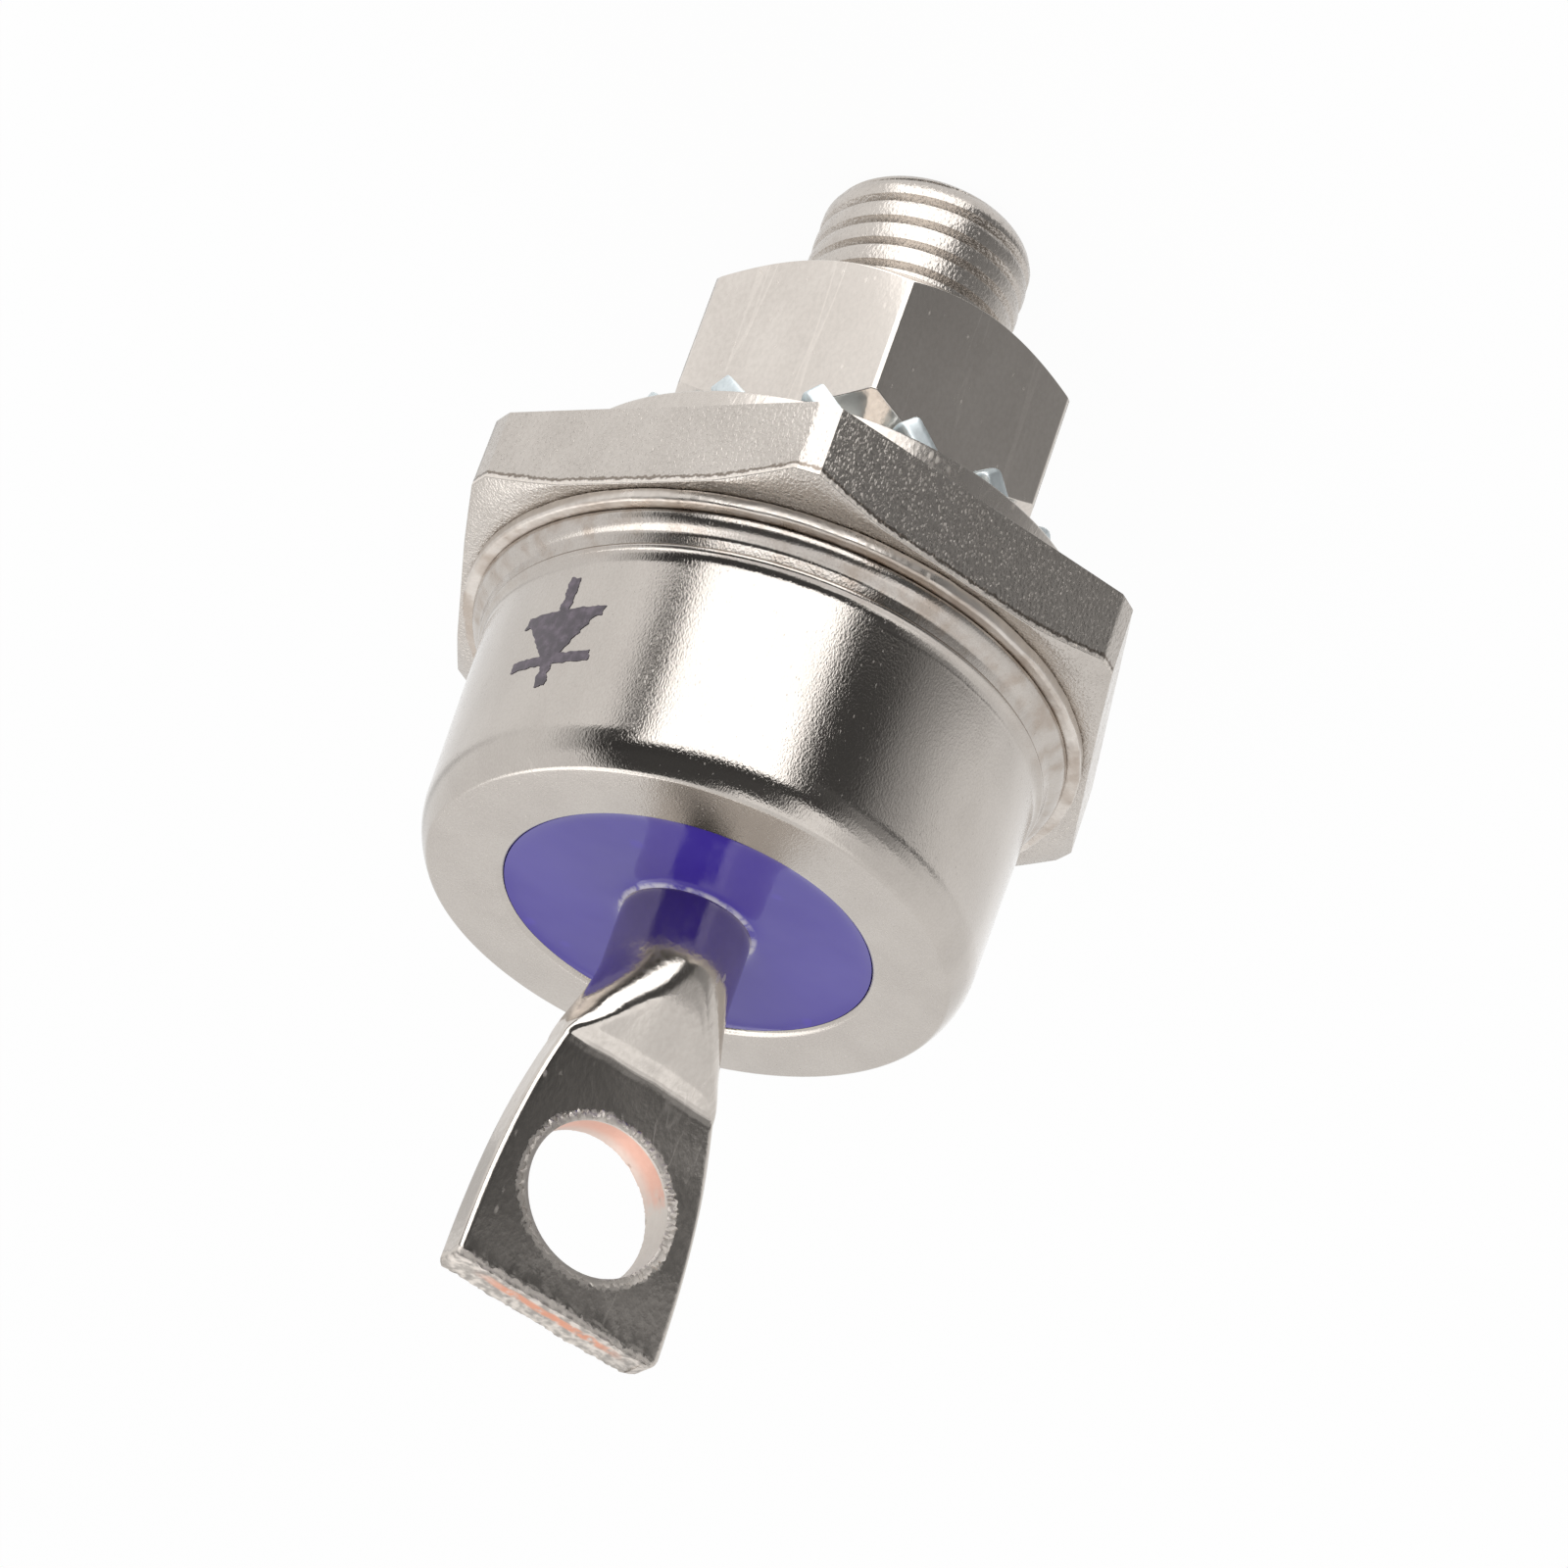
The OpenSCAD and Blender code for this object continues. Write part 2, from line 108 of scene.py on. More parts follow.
class DiodeSizes(bpy.types.PropertyGroup):
    """Sizes of the visible pieces that the frame's boxes don't give."""

    hex_flats: length("Base across flats", "Width of the hexagonal base across its flats", 17.2)
    hex_corner: length("Base corner radius", "Radius of the turned corners of the base", 9.74)
    hex_chamfer: length("Base chamfer", "Radius where the corner chamfer of the base starts", 8.9)
    hex_turn: angle("Base turn", "Turn of the base's corners from the X axis", 0.5)
    chamfer_slope: angle("Chamfer slope", "Slope of the base's corner chamfers", 22.0)
    pedestal: length("Pedestal radius", "Radius of the pedestal inside the cap", 5.0)
    crest: length("Thread crest", "Radius of the stud over its thread", 2.95)
    nut_mesh: length("Stud in nut", "Radius of the stud where it runs inside the nut", 2.675)
    groove: length("Thread depth", "Depth of the rolled thread's grooves", 0.24)
    pitch: length("Thread pitch", "Rise of the stud's thread in one turn", 0.75)
    end_round: length("Stud end round", "Height of the rounded end of the stud", 1.0)
    end_face: length("Stud end face", "Radius of the flat at the stud's end", 1.7)
    ring_width: length("Weld ring width", "Width of the weld ring from its rim inwards", 1.8)
    brim_top: length("Brim top", "Height of the cap brim's upper face", 3.35)
    cap_foot: length("Cap foot", "Radius of the cap's wall above its brim", 7.55)
    cap_top: length("Cap top", "Radius of the cap's wall below its shoulder", 7.43)
    cap_wall: length("Cap wall", "Thickness of the drawn sheet", 0.6)
    shoulder: length("Cap shoulder", "Radius of the soft shoulder between the cap's wall and face", 2.0)
    shoulder_turn: angle("Shoulder turn", "Turn of the shoulder from the wall to the rim of the face", 36.0)
    rim: length("Cap rim", "Radius of the crisp rim of the cap's face", 0.15)
    fillet_rise: length("Cap foot rise", "Height of the hollow between the cap's brim and wall", 0.85)
    brim_round: length("Brim round", "Radius of the brim's upper edge", 0.45)
    foot_groove: length("Foot groove", "Radius of the groove between the brim and the foot's bead", 0.2)
    foot_bead: length("Foot bead", "Radius of the bead at the foot of the cap's wall", 0.11)
    bead_height: length("Bead height", "Height of the bead at the foot of the cap's wall", 3.72)
    cap_lip: length("Cap lip", "Radius of the lip round the glass", 0.2)
    glass_rise: length("Glass meniscus", "Rise of the glass against the terminal", 0.12)
    flare_low: length("Flare start", "Height where the terminal tube starts to flatten", 11.9)
    flare_high: length("Flare end", "Height where the terminal is flat", 15.0)
    press_bend: FloatProperty(name="Press bend", description="How late in the flare the tube is pressed",
                              default=1.55, min=1.0, max=3.0)
    tube_bore: length("Tube bore", "Radius of the terminal tube's bore", 1.25)
    tab_start: length("Tab start", "Half-width of the tab where it is flat", 2.42)
    tab_thick: length("Tab thickness", "Half of the tab's thickness", 0.5)
    tab_edge: length("Tab edge", "Radius along the tab's long edges", 0.15)
    tab_bow: share("Tab bow", "Share of its thickness that the tab loses towards its long edges", 0.12)
    eye: length("Eye radius", "Radius of the punched eye", 2.05)
    eye_height: length("Eye height", "Height of the eye's centre", 18.6)
    washer_hole: length("Washer hole", "Radius of the hole of both washers", 3.2)
    washer_edge: length("Washer edge", "Radius of the flat washer's edge", 0.15)
    tooth_root: length("Tooth root", "Radius of the lock washer's ring", 4.7)
    tooth_wide: length("Tooth width", "Width of a tooth at its root", 1.5)
    tooth_tip: length("Tooth tip", "Width of a tooth at its tip", 1.5)
    lock_thick: length("Lock washer sheet", "Thickness of the lock washer's sheet", 0.7)
    tooth_twist: angle("Tooth twist", "Twist of a tooth from root to tip", -42.0)
    tooth_turn: angle("Tooth turn", "Turn of the first tooth from the X axis", 16.6)
    tooth_count: IntProperty(name="Teeth", description="Number of teeth of the lock washer", default=15,
                             min=3)
    nut_flats: length("Nut across flats", "Width of the nut across its flats", 9.9)
    nut_corner: length("Nut corner radius", "Radius of the nut's turned corners", 5.666)
    nut_chamfer: length("Nut chamfer", "Radius where the nut's corner chamfers start", 4.88)
    nut_slope: angle("Nut chamfer slope", "Slope of the nut's corner chamfers", 40.0)
    nut_hole: length("Nut hole", "Radius of the nut's hole", 2.705)
    nut_sink: length("Nut countersink", "Radius of the countersink at the nut's faces", 3.105)
    nut_turn: angle("Nut turn", "Turn of the nut's corners from the X axis", 55.6)
    mark_turn: angle("Mark place", "Place of the polarity mark round the cap", 342.7)
    mark_low: length("Mark low end", "Height of the polarity mark's lower end", 4.5)
    mark_high: length("Mark high end", "Height of the polarity mark's upper end", 7.85)
    mark_half: length("Mark half-width", "Half-width of the mark's triangle and bar", 1.3)
    mark_line: length("Mark line", "Half-width of the mark's line", 0.17)


class DiodeFinishes(bpy.types.PropertyGroup):
    """Colours and gloss of the finishes."""

    nickel: colour("Nickel", "Colour of the nickel plating", (0.620, 0.575, 0.530))
    nickel_worn: colour("Worn nickel", "Colour of the plating's darker grain", (0.530, 0.488, 0.448))
    # Heat tint at the weld; also used as painted shade on the base's edge line and in the cap's foot hollow.
    weld_tint_and_shade: colour("Weld tint", "Heat tint beside the weld", (0.300, 0.215, 0.150))
    zinc: colour("Zinc", "Colour of the bright zinc plating", (0.700, 0.750, 0.765))
    zinc_dull: colour("Dull zinc", "Colour of the zinc's duller grain", (0.580, 0.630, 0.645))
    copper: colour("Copper", "Colour of the copper that the punch smoothed", (0.740, 0.460, 0.370))
    torn_copper: colour("Torn copper", "Colour of the copper at the sheared end", (0.640, 0.330, 0.230))
    glass: colour("Glass", "Colour of the seal's glass", (0.042, 0.018, 0.318))
    glass_pale: colour("Pale glass", "Colour of the glass where it is thinner", (0.066, 0.042, 0.355))
    # Painted highlight: the pale ragged ring on the glass round the terminal stands for the meniscus's glint.
    painted_meniscus_highlight: colour("Meniscus_highlight", "Colour of the pale edge of the glass at the terminal", (0.560, 0.530, 0.600))
    ink: colour("Ink", "Colour of the printed polarity mark", (0.085, 0.070, 0.085))
    satin: share("Satin gloss", "Roughness of the satin flats", 0.16)
    drawn: share("Drawn gloss", "Roughness of the drawn cap", 0.05)


class DiodeStage(bpy.types.PropertyGroup):
    """Camera, light and reflectors."""

    camera_place: FloatVectorProperty(name="Camera place", description="Where the camera stands", size=3,
                                      default=(0.066734, -0.144792, 0.098056), subtype="TRANSLATION")
    camera_right: FloatVectorProperty(name="Camera right", size=3,
                                      description="Direction of the picture's right side",
                                      default=(-0.78283, -0.5522, -0.28681), subtype="DIRECTION")
    camera_up: FloatVectorProperty(name="Camera up", description="Direction of the picture's upper side",
                                   size=3, default=(0.5022, -0.28853, -0.81519), subtype="DIRECTION")
    lens: FloatProperty(name="Lens", description="Focal length in millimetres for a 36 mm sensor",
                        default=163.0)
    ambient: FloatProperty(name="Room light", description="Strength of the even light of the room",
                           default=0.62)
    key_power: FloatProperty(name="Key power", description="Power of the key lamp", default=0.5,
                             unit="POWER")


def sizes():
    return bpy.context.scene.diode_sizes


def finishes():
    return bpy.context.scene.diode_finishes


# Modelling helpers

def clear_selection():
    bpy.ops.object.select_all(action="DESELECT")


def current():
    return bpy.context.view_layer.objects.active


def select_only(piece):
    clear_selection()
    bpy.context.view_layer.objects.active = piece
    piece.select_set(True)


def start_edit(piece):
    select_only(piece)
    bpy.ops.object.mode_set(mode="EDIT")
    bpy.ops.mesh.select_mode(type="VERT")


def end_edit():
    bpy.ops.object.mode_set(mode="OBJECT")


def pick(piece, kind, wanted):
    """In edit mode, selects only the vertices, edges or faces that pass a test."""
    bpy.ops.mesh.select_mode(type=kind)
    bpy.ops.mesh.select_all(action="DESELECT")
    mesh = bmesh.from_edit_mesh(piece.data)
    elements = {"VERT": mesh.verts, "EDGE": mesh.edges, "FACE": mesh.faces}[kind]
    found = 0
    for element in elements:
        if wanted(element):
            element.select_set(True)
            found += 1
    bmesh.update_edit_mesh(piece.data)
    if not found:
        raise RuntimeError(f"nothing to pick on {piece.name}")


def close_mesh():
    """In edit mode, merges doubles and turns the faces outwards."""
    bpy.ops.mesh.select_all(action="SELECT")
    bpy.ops.mesh.remove_doubles(threshold=WELD)
    bpy.ops.mesh.normals_make_consistent(inside=False)


def draw_outline(outline):
    """Starts a piece as one vertex and extrudes it from point to point of (radius, height)."""
    clear_selection()
    bpy.ops.mesh.primitive_plane_add(size=MM)
    piece = current()
    start_edit(piece)
    bpy.ops.mesh.select_all(action="SELECT")
    bpy.ops.mesh.merge(type="CENTER")
    bpy.ops.transform.translate(value=(outline[0][0], 0.0, outline[0][1]))
    for (r_from, z_from), (r_to, z_to) in zip(outline, outline[1:]):
        bpy.ops.mesh.extrude_vertices_move(
            TRANSFORM_OT_translate={"value": (r_to - r_from, 0.0, z_to - z_from)})
    return piece


def turn_outline(outline, steps):
    """Spins an outline round the axis into a closed piece."""
    piece = draw_outline(outline)
    bpy.ops.mesh.select_all(action="SELECT")
    bpy.ops.mesh.spin(steps=steps, angle=FULL_TURN, center=(0, 0, 0), axis=(0, 0, 1))
    close_mesh()
    end_edit()
    return piece


def arc(centre_r, centre_z, radius, start, end, steps=6):
    """Points of an arc in an outline: 0 degrees points outwards and 90 up."""
    points = []
    for step in range(steps + 1):
        bend = math.radians(start + (end - start) * step / steps)
        points.append((centre_r + radius * math.cos(bend), centre_z + radius * math.sin(bend)))
    return points


def reshape(piece, move):
    """Moves every vertex of a piece to where move() puts it."""
    for vertex in piece.data.vertices:
        vertex.co = move(vertex.co.copy())
    piece.data.update()


def apply_modifier(piece, kind, **settings):
    select_only(piece)
    modifier = piece.modifiers.new(kind.title(), kind)
    for name, value in settings.items():
        setattr(modifier, name, value)
    bpy.ops.object.modifier_apply(modifier=modifier.name)


def combine(piece, tool, operation):
    """Cuts a piece with a tool or keeps what they share, and takes the tool away."""
    apply_modifier(piece, "BOOLEAN", object=tool, operation=operation, solver="EXACT")
    bpy.data.objects.remove(tool)


def soften(piece, width, segments=3, sharper_than=35.0):
    """Rounds the piece's sharp edges."""
    apply_modifier(piece, "BEVEL", width=width, segments=segments, limit_method="ANGLE",
                   angle_limit=math.radians(sharper_than), use_clamp_overlap=True)


def join(pieces):
    clear_selection()
    for piece in pieces:
        piece.select_set(True)
    bpy.context.view_layer.objects.active = pieces[0]
    bpy.ops.object.join()
    return current()


def copies_round(piece, count):
    """The piece and its copies, spread evenly round the axis, each with its own mesh."""
    made = [piece]
    for place in range(1, count):
        copy = piece.copy()
        copy.data = piece.data.copy()
        bpy.context.collection.objects.link(copy)
        copy.data.transform(Matrix.Rotation(FULL_TURN * place / count, 4, "Z"))
        made.append(copy)
    return made


def hand_over(piece, name, material, nodes=(), smooth=35.0, weighted=False):
    """Names a finished piece, shades and dresses it, and puts it on the frame."""
    select_only(piece)
    bpy.ops.object.transform_apply(location=True, rotation=True, scale=True)
    bpy.ops.object.shade_smooth_by_angle(angle=math.radians(smooth))
    if weighted:
        apply_modifier(piece, "WEIGHTED_NORMAL", keep_sharp=True, weight=80)
    piece.name = name
    piece.data.name = name
    piece.data.materials.clear()
    piece.data.materials.append(material)
    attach(piece, "root")
    if nodes:
        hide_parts(*nodes)
    return piece


def rough(place, scale, depth=3):
    """Smooth random value from about -1 to 1 at a place."""
    return noise.fractal(place * scale, 1.0, 2.0, depth, noise_basis="PERLIN_ORIGINAL")


# Node helpers

class Board:
    """Places and links the nodes of one material or group."""

    def __init__(self, tree):
        self.tree = tree
        self.tree.nodes.clear()

    def feed(self, value, socket):
        """Links an output to an input, or sets the input to a plain value."""
        if isinstance(value, bpy.types.NodeSocket):
            self.tree.links.new(value, socket)
        else:
            socket.default_value = value

    def put(self, kind, inputs=None, **settings):
        node = self.tree.nodes.new(kind)
        for name, value in settings.items():
            setattr(node, name, value)
        for name, value in (inputs or {}).items():
            self.feed(value, node.inputs[name])
        return node

    def math(self, operation, first, second=0.0, clamp=False):
        node = self.put("ShaderNodeMath", {0: first, 1: second}, operation=operation, use_clamp=clamp)
        return node.outputs[0]

    def chain(self, operation, values):
        """One operation over all values, from the first to the last."""
        result = values[0]
        for value in values[1:]:
            result = self.math(operation, result, value)
        return result

    def plus(self, *values):
        return self.chain("ADD", values)

    def minus(self, first, second):
        return self.math("SUBTRACT", first, second)

    def times(self, *values):
        return self.chain("MULTIPLY", values)

    def most(self, *values):
        return self.chain("MAXIMUM", values)

    def distance(self, first, second):
        """Distance from the origin of the point with these two coordinates."""
        return self.math("SQRT", self.plus(self.times(first, first), self.times(second, second)))

    def band(self, value, low, high, to_low=0.0, to_high=1.0):
        """Smooth step of a value from one level to another."""
        inputs = {"Value": value, "From Min": low, "From Max": high, "To Min": to_low, "To Max": to_high}
        return self.put("ShaderNodeMapRange", inputs, interpolation_type="SMOOTHSTEP").outputs["Result"]

    def fade(self, value, low, high):
        """Smooth step from one down to nothing."""
        return self.band(value, low, high, 1.0, 0.0)

    def blend(self, factor, first, second):
        """Mix of two colours."""
        return self.put("ShaderNodeMix", {0: factor, 6: first, 7: second}, data_type="RGBA").outputs[2]

    def noise(self, vector, scale, detail):
        return self.put("ShaderNodeTexNoise", {"Vector": vector, "Scale": scale, "Detail": detail}).outputs[0]

    def stretched(self, vector, scale):
        """A vector scaled along each axis."""
        return self.put("ShaderNodeMapping", {"Vector": vector, "Scale": scale}).outputs["Vector"]


def new_material(name):
    """A material with an empty node tree, and the board that fills it."""
    material = bpy.data.materials.new(name)
    material.use_nodes = True
    return material, Board(material.node_tree)


def opaque(rgb, tone=1.0):
    """Colour with full alpha, made lighter or darker by a tone."""
    return (rgb[0] * tone, rgb[1] * tone, rgb[2] * tone, 1.0)


def new_group(name, inputs, outputs):
    """A node group with named sockets, and the board that fills it."""
    tree = bpy.data.node_groups.new(name, "ShaderNodeTree")
    board = Board(tree)
    for title, kind, value in inputs:
        socket = tree.interface.new_socket(name=title, in_out="INPUT", socket_type=kind)
        if value is not None:
            socket.default_value = value
    for title, kind in outputs:
        tree.interface.new_socket(name=title, in_out="OUTPUT", socket_type=kind)
    start = board.put("NodeGroupInput")
    end = board.put("NodeGroupOutput")
    return tree, board, start.outputs, end.inputs


def once(name, build):
    """The node group of that name, built at its first use."""
    return bpy.data.node_groups.get(name) or build(name)


def build_plating_grain(name):
    """Fine grain with soft clouds: a value round 0.5 over the surface."""
    tree, board, given, result = new_group(
        name,
        (("Vector", "NodeSocketVector", None), ("Grain Scale", "NodeSocketFloat", 9000.0),
         ("Cloud Scale", "NodeSocketFloat", 700.0)),
        (("Grain", "NodeSocketFloat"), ("Clouds", "NodeSocketFloat")))
    fine = board.noise(given["Vector"], given["Grain Scale"], 3.0)
    soft = board.noise(given["Vector"], given["Cloud Scale"], 2.0)
    board.feed(board.band(fine, 0.25, 0.75), result["Grain"])
    board.feed(board.band(soft, 0.3, 0.7), result["Clouds"])
    return tree


def build_scratches(name):
    """Short fine scratches along one axis, where a second noise lets them."""
    tree, board, given, result = new_group(
        name,
        (("Vector", "NodeSocketVector", None), ("Scale", "NodeSocketFloat", 2600.0),
         ("Share", "NodeSocketFloat", 0.5)),
        (("Lines", "NodeSocketFloat"),))
    lines = board.noise(given["Vector"], given["Scale"], 1.0)
    off_middle = board.math("ABSOLUTE", board.minus(lines, 0.5))
    thin = board.math("SUBTRACT", 1.0, board.times(off_middle, 22.0), clamp=True)
    where = board.noise(given["Vector"], board.times(given["Scale"], 0.37), 2.0)
    gate = board.math("GREATER_THAN", where, board.minus(1.0, given["Share"]))
    board.feed(board.times(thin, gate), result["Lines"])
    return tree


def build_speckle(name):
    """Sharp small specks, as grit and burnished spots leave them."""
    tree, board, given, result = new_group(
        name,
        (("Vector", "NodeSocketVector", None), ("Scale", "NodeSocketFloat", 5200.0),
         ("Share", "NodeSocketFloat", 0.1)),
        (("Specks", "NodeSocketFloat"),))
    cells = board.put("ShaderNodeTexVoronoi", {"Vector": given["Vector"], "Scale": given["Scale"]})
    pick_one = board.put("ShaderNodeSeparateColor", {"Color": cells.outputs["Color"]}).outputs[0]
    chosen = board.math("LESS_THAN", pick_one, given["Share"])
    spot = board.fade(cells.outputs["Distance"], 0.15, 0.45)
    board.feed(board.times(chosen, spot), result["Specks"])
    return tree


class Finish:
    """A material on Object coordinates with one Principled shader."""

    def __init__(self, name, metallic, **constants):
        self.material, self.board = new_material(name)
        self.place = self.board.put("ShaderNodeTexCoord").outputs["Object"]
        self.shader = self.board.put("ShaderNodeBsdfPrincipled", {"Metallic": metallic, **constants})
        self.board.put("ShaderNodeOutputMaterial", {"Surface": self.shader.outputs[0]})

    def axes(self):
        return self.board.put("ShaderNodeSeparateXYZ", {"Vector": self.place}).outputs[:]

    def group(self, build, name, stretch, inputs):
        """Outputs of a shared node group on the surface's own place, stretched along the axes."""
        vector = self.board.stretched(self.place, stretch)
        tree = once(name, build)
        return self.board.put("ShaderNodeGroup", {"Vector": vector, **inputs}, node_tree=tree).outputs

    def grain(self, fine, clouds=700.0):
        return self.group(build_plating_grain, "Plating grain", (1.0, 1.0, 0.6),
                          {"Grain Scale": fine, "Cloud Scale": clouds})

    def scratches(self, stretch, scale, amount):
        inputs = {"Scale": scale, "Share": amount}
        return self.group(build_scratches, "Fine scratches", stretch, inputs)["Lines"]

    def specks(self, scale, amount, stretch=(1.0, 1.0, 1.0)):
        inputs = {"Scale": scale, "Share": amount}
        return self.group(build_speckle, "Burnished specks", stretch, inputs)["Specks"]

    def colour(self, socket):
        self.board.feed(socket, self.shader.inputs["Base Color"])

    def roughness(self, socket):
        self.board.feed(socket, self.shader.inputs["Roughness"])

    def bump(self, height, strength, depth):
        node = self.board.put("ShaderNodeBump", {"Strength": strength, "Distance": depth, "Height": height})
        self.board.feed(node.outputs["Normal"], self.shader.inputs["Normal"])


def plated_finish(name, light, dark, gloss, stretch, relief, scratch_share=0.46, specks=0.05,
                  grain_scale=9000.0, tone=1.0, speck_scale=5200.0):
    """Plated metal with fine grain, scratches along one axis and small burnished specks."""
    finish = Finish(name, 1.0)
    board = finish.board
    grain = finish.grain(grain_scale)
    lines = finish.scratches(stretch, 2600.0, scratch_share)
    dots = finish.specks(speck_scale, specks, (1.0, 1.0, 0.45))
    mixed = board.plus(board.times(grain["Grain"], 0.55), board.times(grain["Clouds"], 0.45))
    bright, dull = gloss
    finish.tone = board.blend(mixed, opaque(dark, tone), opaque(light, tone))
    finish.tone = board.blend(board.times(lines, 0.2), finish.tone, opaque(light, 1.3 * tone))
    finish.gloss = board.plus(board.band(mixed, 0.1, 0.9, dull, bright), board.times(lines, 0.06),
                              board.times(dots, 0.3))
    finish.height = board.plus(board.times(grain["Grain"], 0.5), board.times(lines, 0.5),
                               board.times(dots, 0.16))
    finish.relief = relief
    return finish


def seal_finish(finish, depth=0.01 * MM):
    """Links the tone, gloss and height of a plated finish and returns its material."""
    finish.colour(finish.tone)
    finish.roughness(finish.gloss)
    finish.bump(finish.height, finish.relief, depth)
    return finish.material


# Outside pieces

def hex_prism(flats, turn, low, high):
    """Hexagonal prism with a corner at the given turn from the X axis."""
    clear_selection()
    bpy.ops.mesh.primitive_cylinder_add(
        vertices=6, radius=flats / math.sqrt(3), depth=high - low,
        location=(0, 0, (low + high) / 2), rotation=(0, 0, turn + math.radians(30)))
    bpy.ops.object.transform_apply(location=True, rotation=True, scale=True)
    return current()


def stud_radius(height):
    """Largest radius of the stud at a height: rounded at its end, slimmer inside the nut."""
    s = sizes()
    if height < STUD_END + s.end_round:
        fall = (STUD_END + s.end_round - height) / s.end_round
        return s.end_face + (s.crest - s.end_face) * math.sqrt(max(0.0, 1.0 - fall * fall))
    if NUT_LOW + 0.3 * MM < height < NUT_TOP:
        return s.nut_mesh
    return s.crest


def model_stud():
    """Stud with a rolled right-hand thread: broad crests and narrow rounded grooves."""
    s = sizes()
    low = STUD_END - 2 * s.pitch
    turns = math.ceil((SEAT_Z - low) / s.pitch) + 2
    root = s.crest - s.groove
    near_crest = s.crest - 0.03 * MM
    near_root = root + 0.03 * MM
    profile = [(near_crest, 0.0), (s.crest, 0.16), (s.crest, 0.46), (near_crest, 0.64), (near_root, 0.77),
               (root, 0.81), (near_root, 0.85), (near_crest, 1.0)]
    piece = draw_outline([(radius, low + rise * s.pitch) for radius, rise in profile])
    end_edit()
    apply_modifier(piece, "SCREW", axis="Z", angle=FULL_TURN, screw_offset=s.pitch, iterations=turns,
                   steps=72, render_steps=72, use_merge_vertices=False)
    start_edit(piece)
    close_mesh()
    for height, outward in ((STUD_END, -1.0), (SEAT_Z + SUNK, 1.0)):
        bpy.ops.mesh.select_all(action="SELECT")
        bpy.ops.mesh.bisect(plane_co=(0, 0, height), plane_no=(0, 0, outward), use_fill=True,
                            clear_outer=True, threshold=WELD)
    close_mesh()
    end_edit()

    def trim(place):
        flat = math.hypot(place.x, place.y)
        limit = stud_radius(place.z)
        if flat > limit:
            place.x *= limit / flat
            place.y *= limit / flat
        return place

    reshape(piece, trim)
    return piece


class DIODE_OT_base_stud(bpy.types.Operator):
    """Models the hexagonal base with its threaded stud"""

    bl_idname = "diode.base_stud"
    bl_label = "Base and stud"

    def execute(self, context):
        s = sizes()
        f = finishes()
        drop = (s.hex_corner - s.hex_chamfer) * math.tan(s.chamfer_slope)
        below = SEAT_Z - TOOL_OVER
        base = hex_prism(s.hex_flats, s.hex_turn, SEAT_Z, HEX_TOP + TOOL_OVER)
        trim = turn_outline([(0.0, below), (s.hex_corner, below), (s.hex_corner, HEX_TOP - drop),
                             (s.hex_chamfer, HEX_TOP), (0.0, HEX_TOP)], 240)
        combine(base, trim, "INTERSECT")
        soften(base, 0.12 * MM, 4)
        inside = HEX_TOP - SUNK
        pedestal = turn_outline([(0.0, PEDESTAL_TOP), (s.pedestal, PEDESTAL_TOP), (s.pedestal, inside),
                                 (0.0, inside)], 96)
        piece = join([base, pedestal, model_stud()])
        finish = plated_finish("plated_base", f.nickel, f.nickel_worn, (f.satin, f.satin + 0.1),
                               (1.0, 1.0, 0.12), relief=0.9, scratch_share=0.3, specks=0.8,
                               grain_scale=12000.0, tone=0.93, speck_scale=14000.0)
        self.paint_edge_highlight_and_shade(finish)
        material = seal_finish(finish, 0.02 * MM)
        hand_over(piece, "base_with_stud", material, ("base_stud",), 30.0, True)
        return {"FINISHED"}

    def paint_edge_highlight_and_shade(self, finish):
        """Ragged burred strip along the flats' cap-side edges painted lighter as a highlight, and a line of
        painted shade beside it.
        """
        s = sizes()
        f = finishes()
        board = finish.board
        across, depth, height = finish.axes()
        beyond = board.most(board.minus(board.distance(across, depth), s.hex_chamfer), 0.0)
        edge = board.minus(HEX_TOP, board.times(beyond, math.tan(s.chamfer_slope)))
        below = board.minus(edge, height)
        torn = board.times(board.minus(board.noise(finish.place, 7500.0, 3.0), 0.5), 0.22 * MM)
        ragged = board.plus(below, torn)
        on_flat = board.band(below, 0.01 * MM, 0.03 * MM)
        # The ragged strip at the edge is painted lighter, a painted highlight on the burred metal; the line
        # below it is painted shade in a dark brown.
        burr_and_painted_highlight = board.times(on_flat, board.fade(ragged, 0.09 * MM, 0.13 * MM))
        line = board.times(board.band(ragged, 0.12 * MM, 0.15 * MM), board.fade(ragged, 0.19 * MM, 0.24 * MM))
        finish.tone = board.blend(board.times(burr_and_painted_highlight, 0.8), finish.tone, opaque(f.nickel, 1.35))
        finish.tone = board.blend(board.times(line, 0.7), finish.tone, opaque(f.weld_tint_and_shade, 0.4))
        finish.gloss = board.plus(finish.gloss, board.times(burr_and_painted_highlight, 0.3))


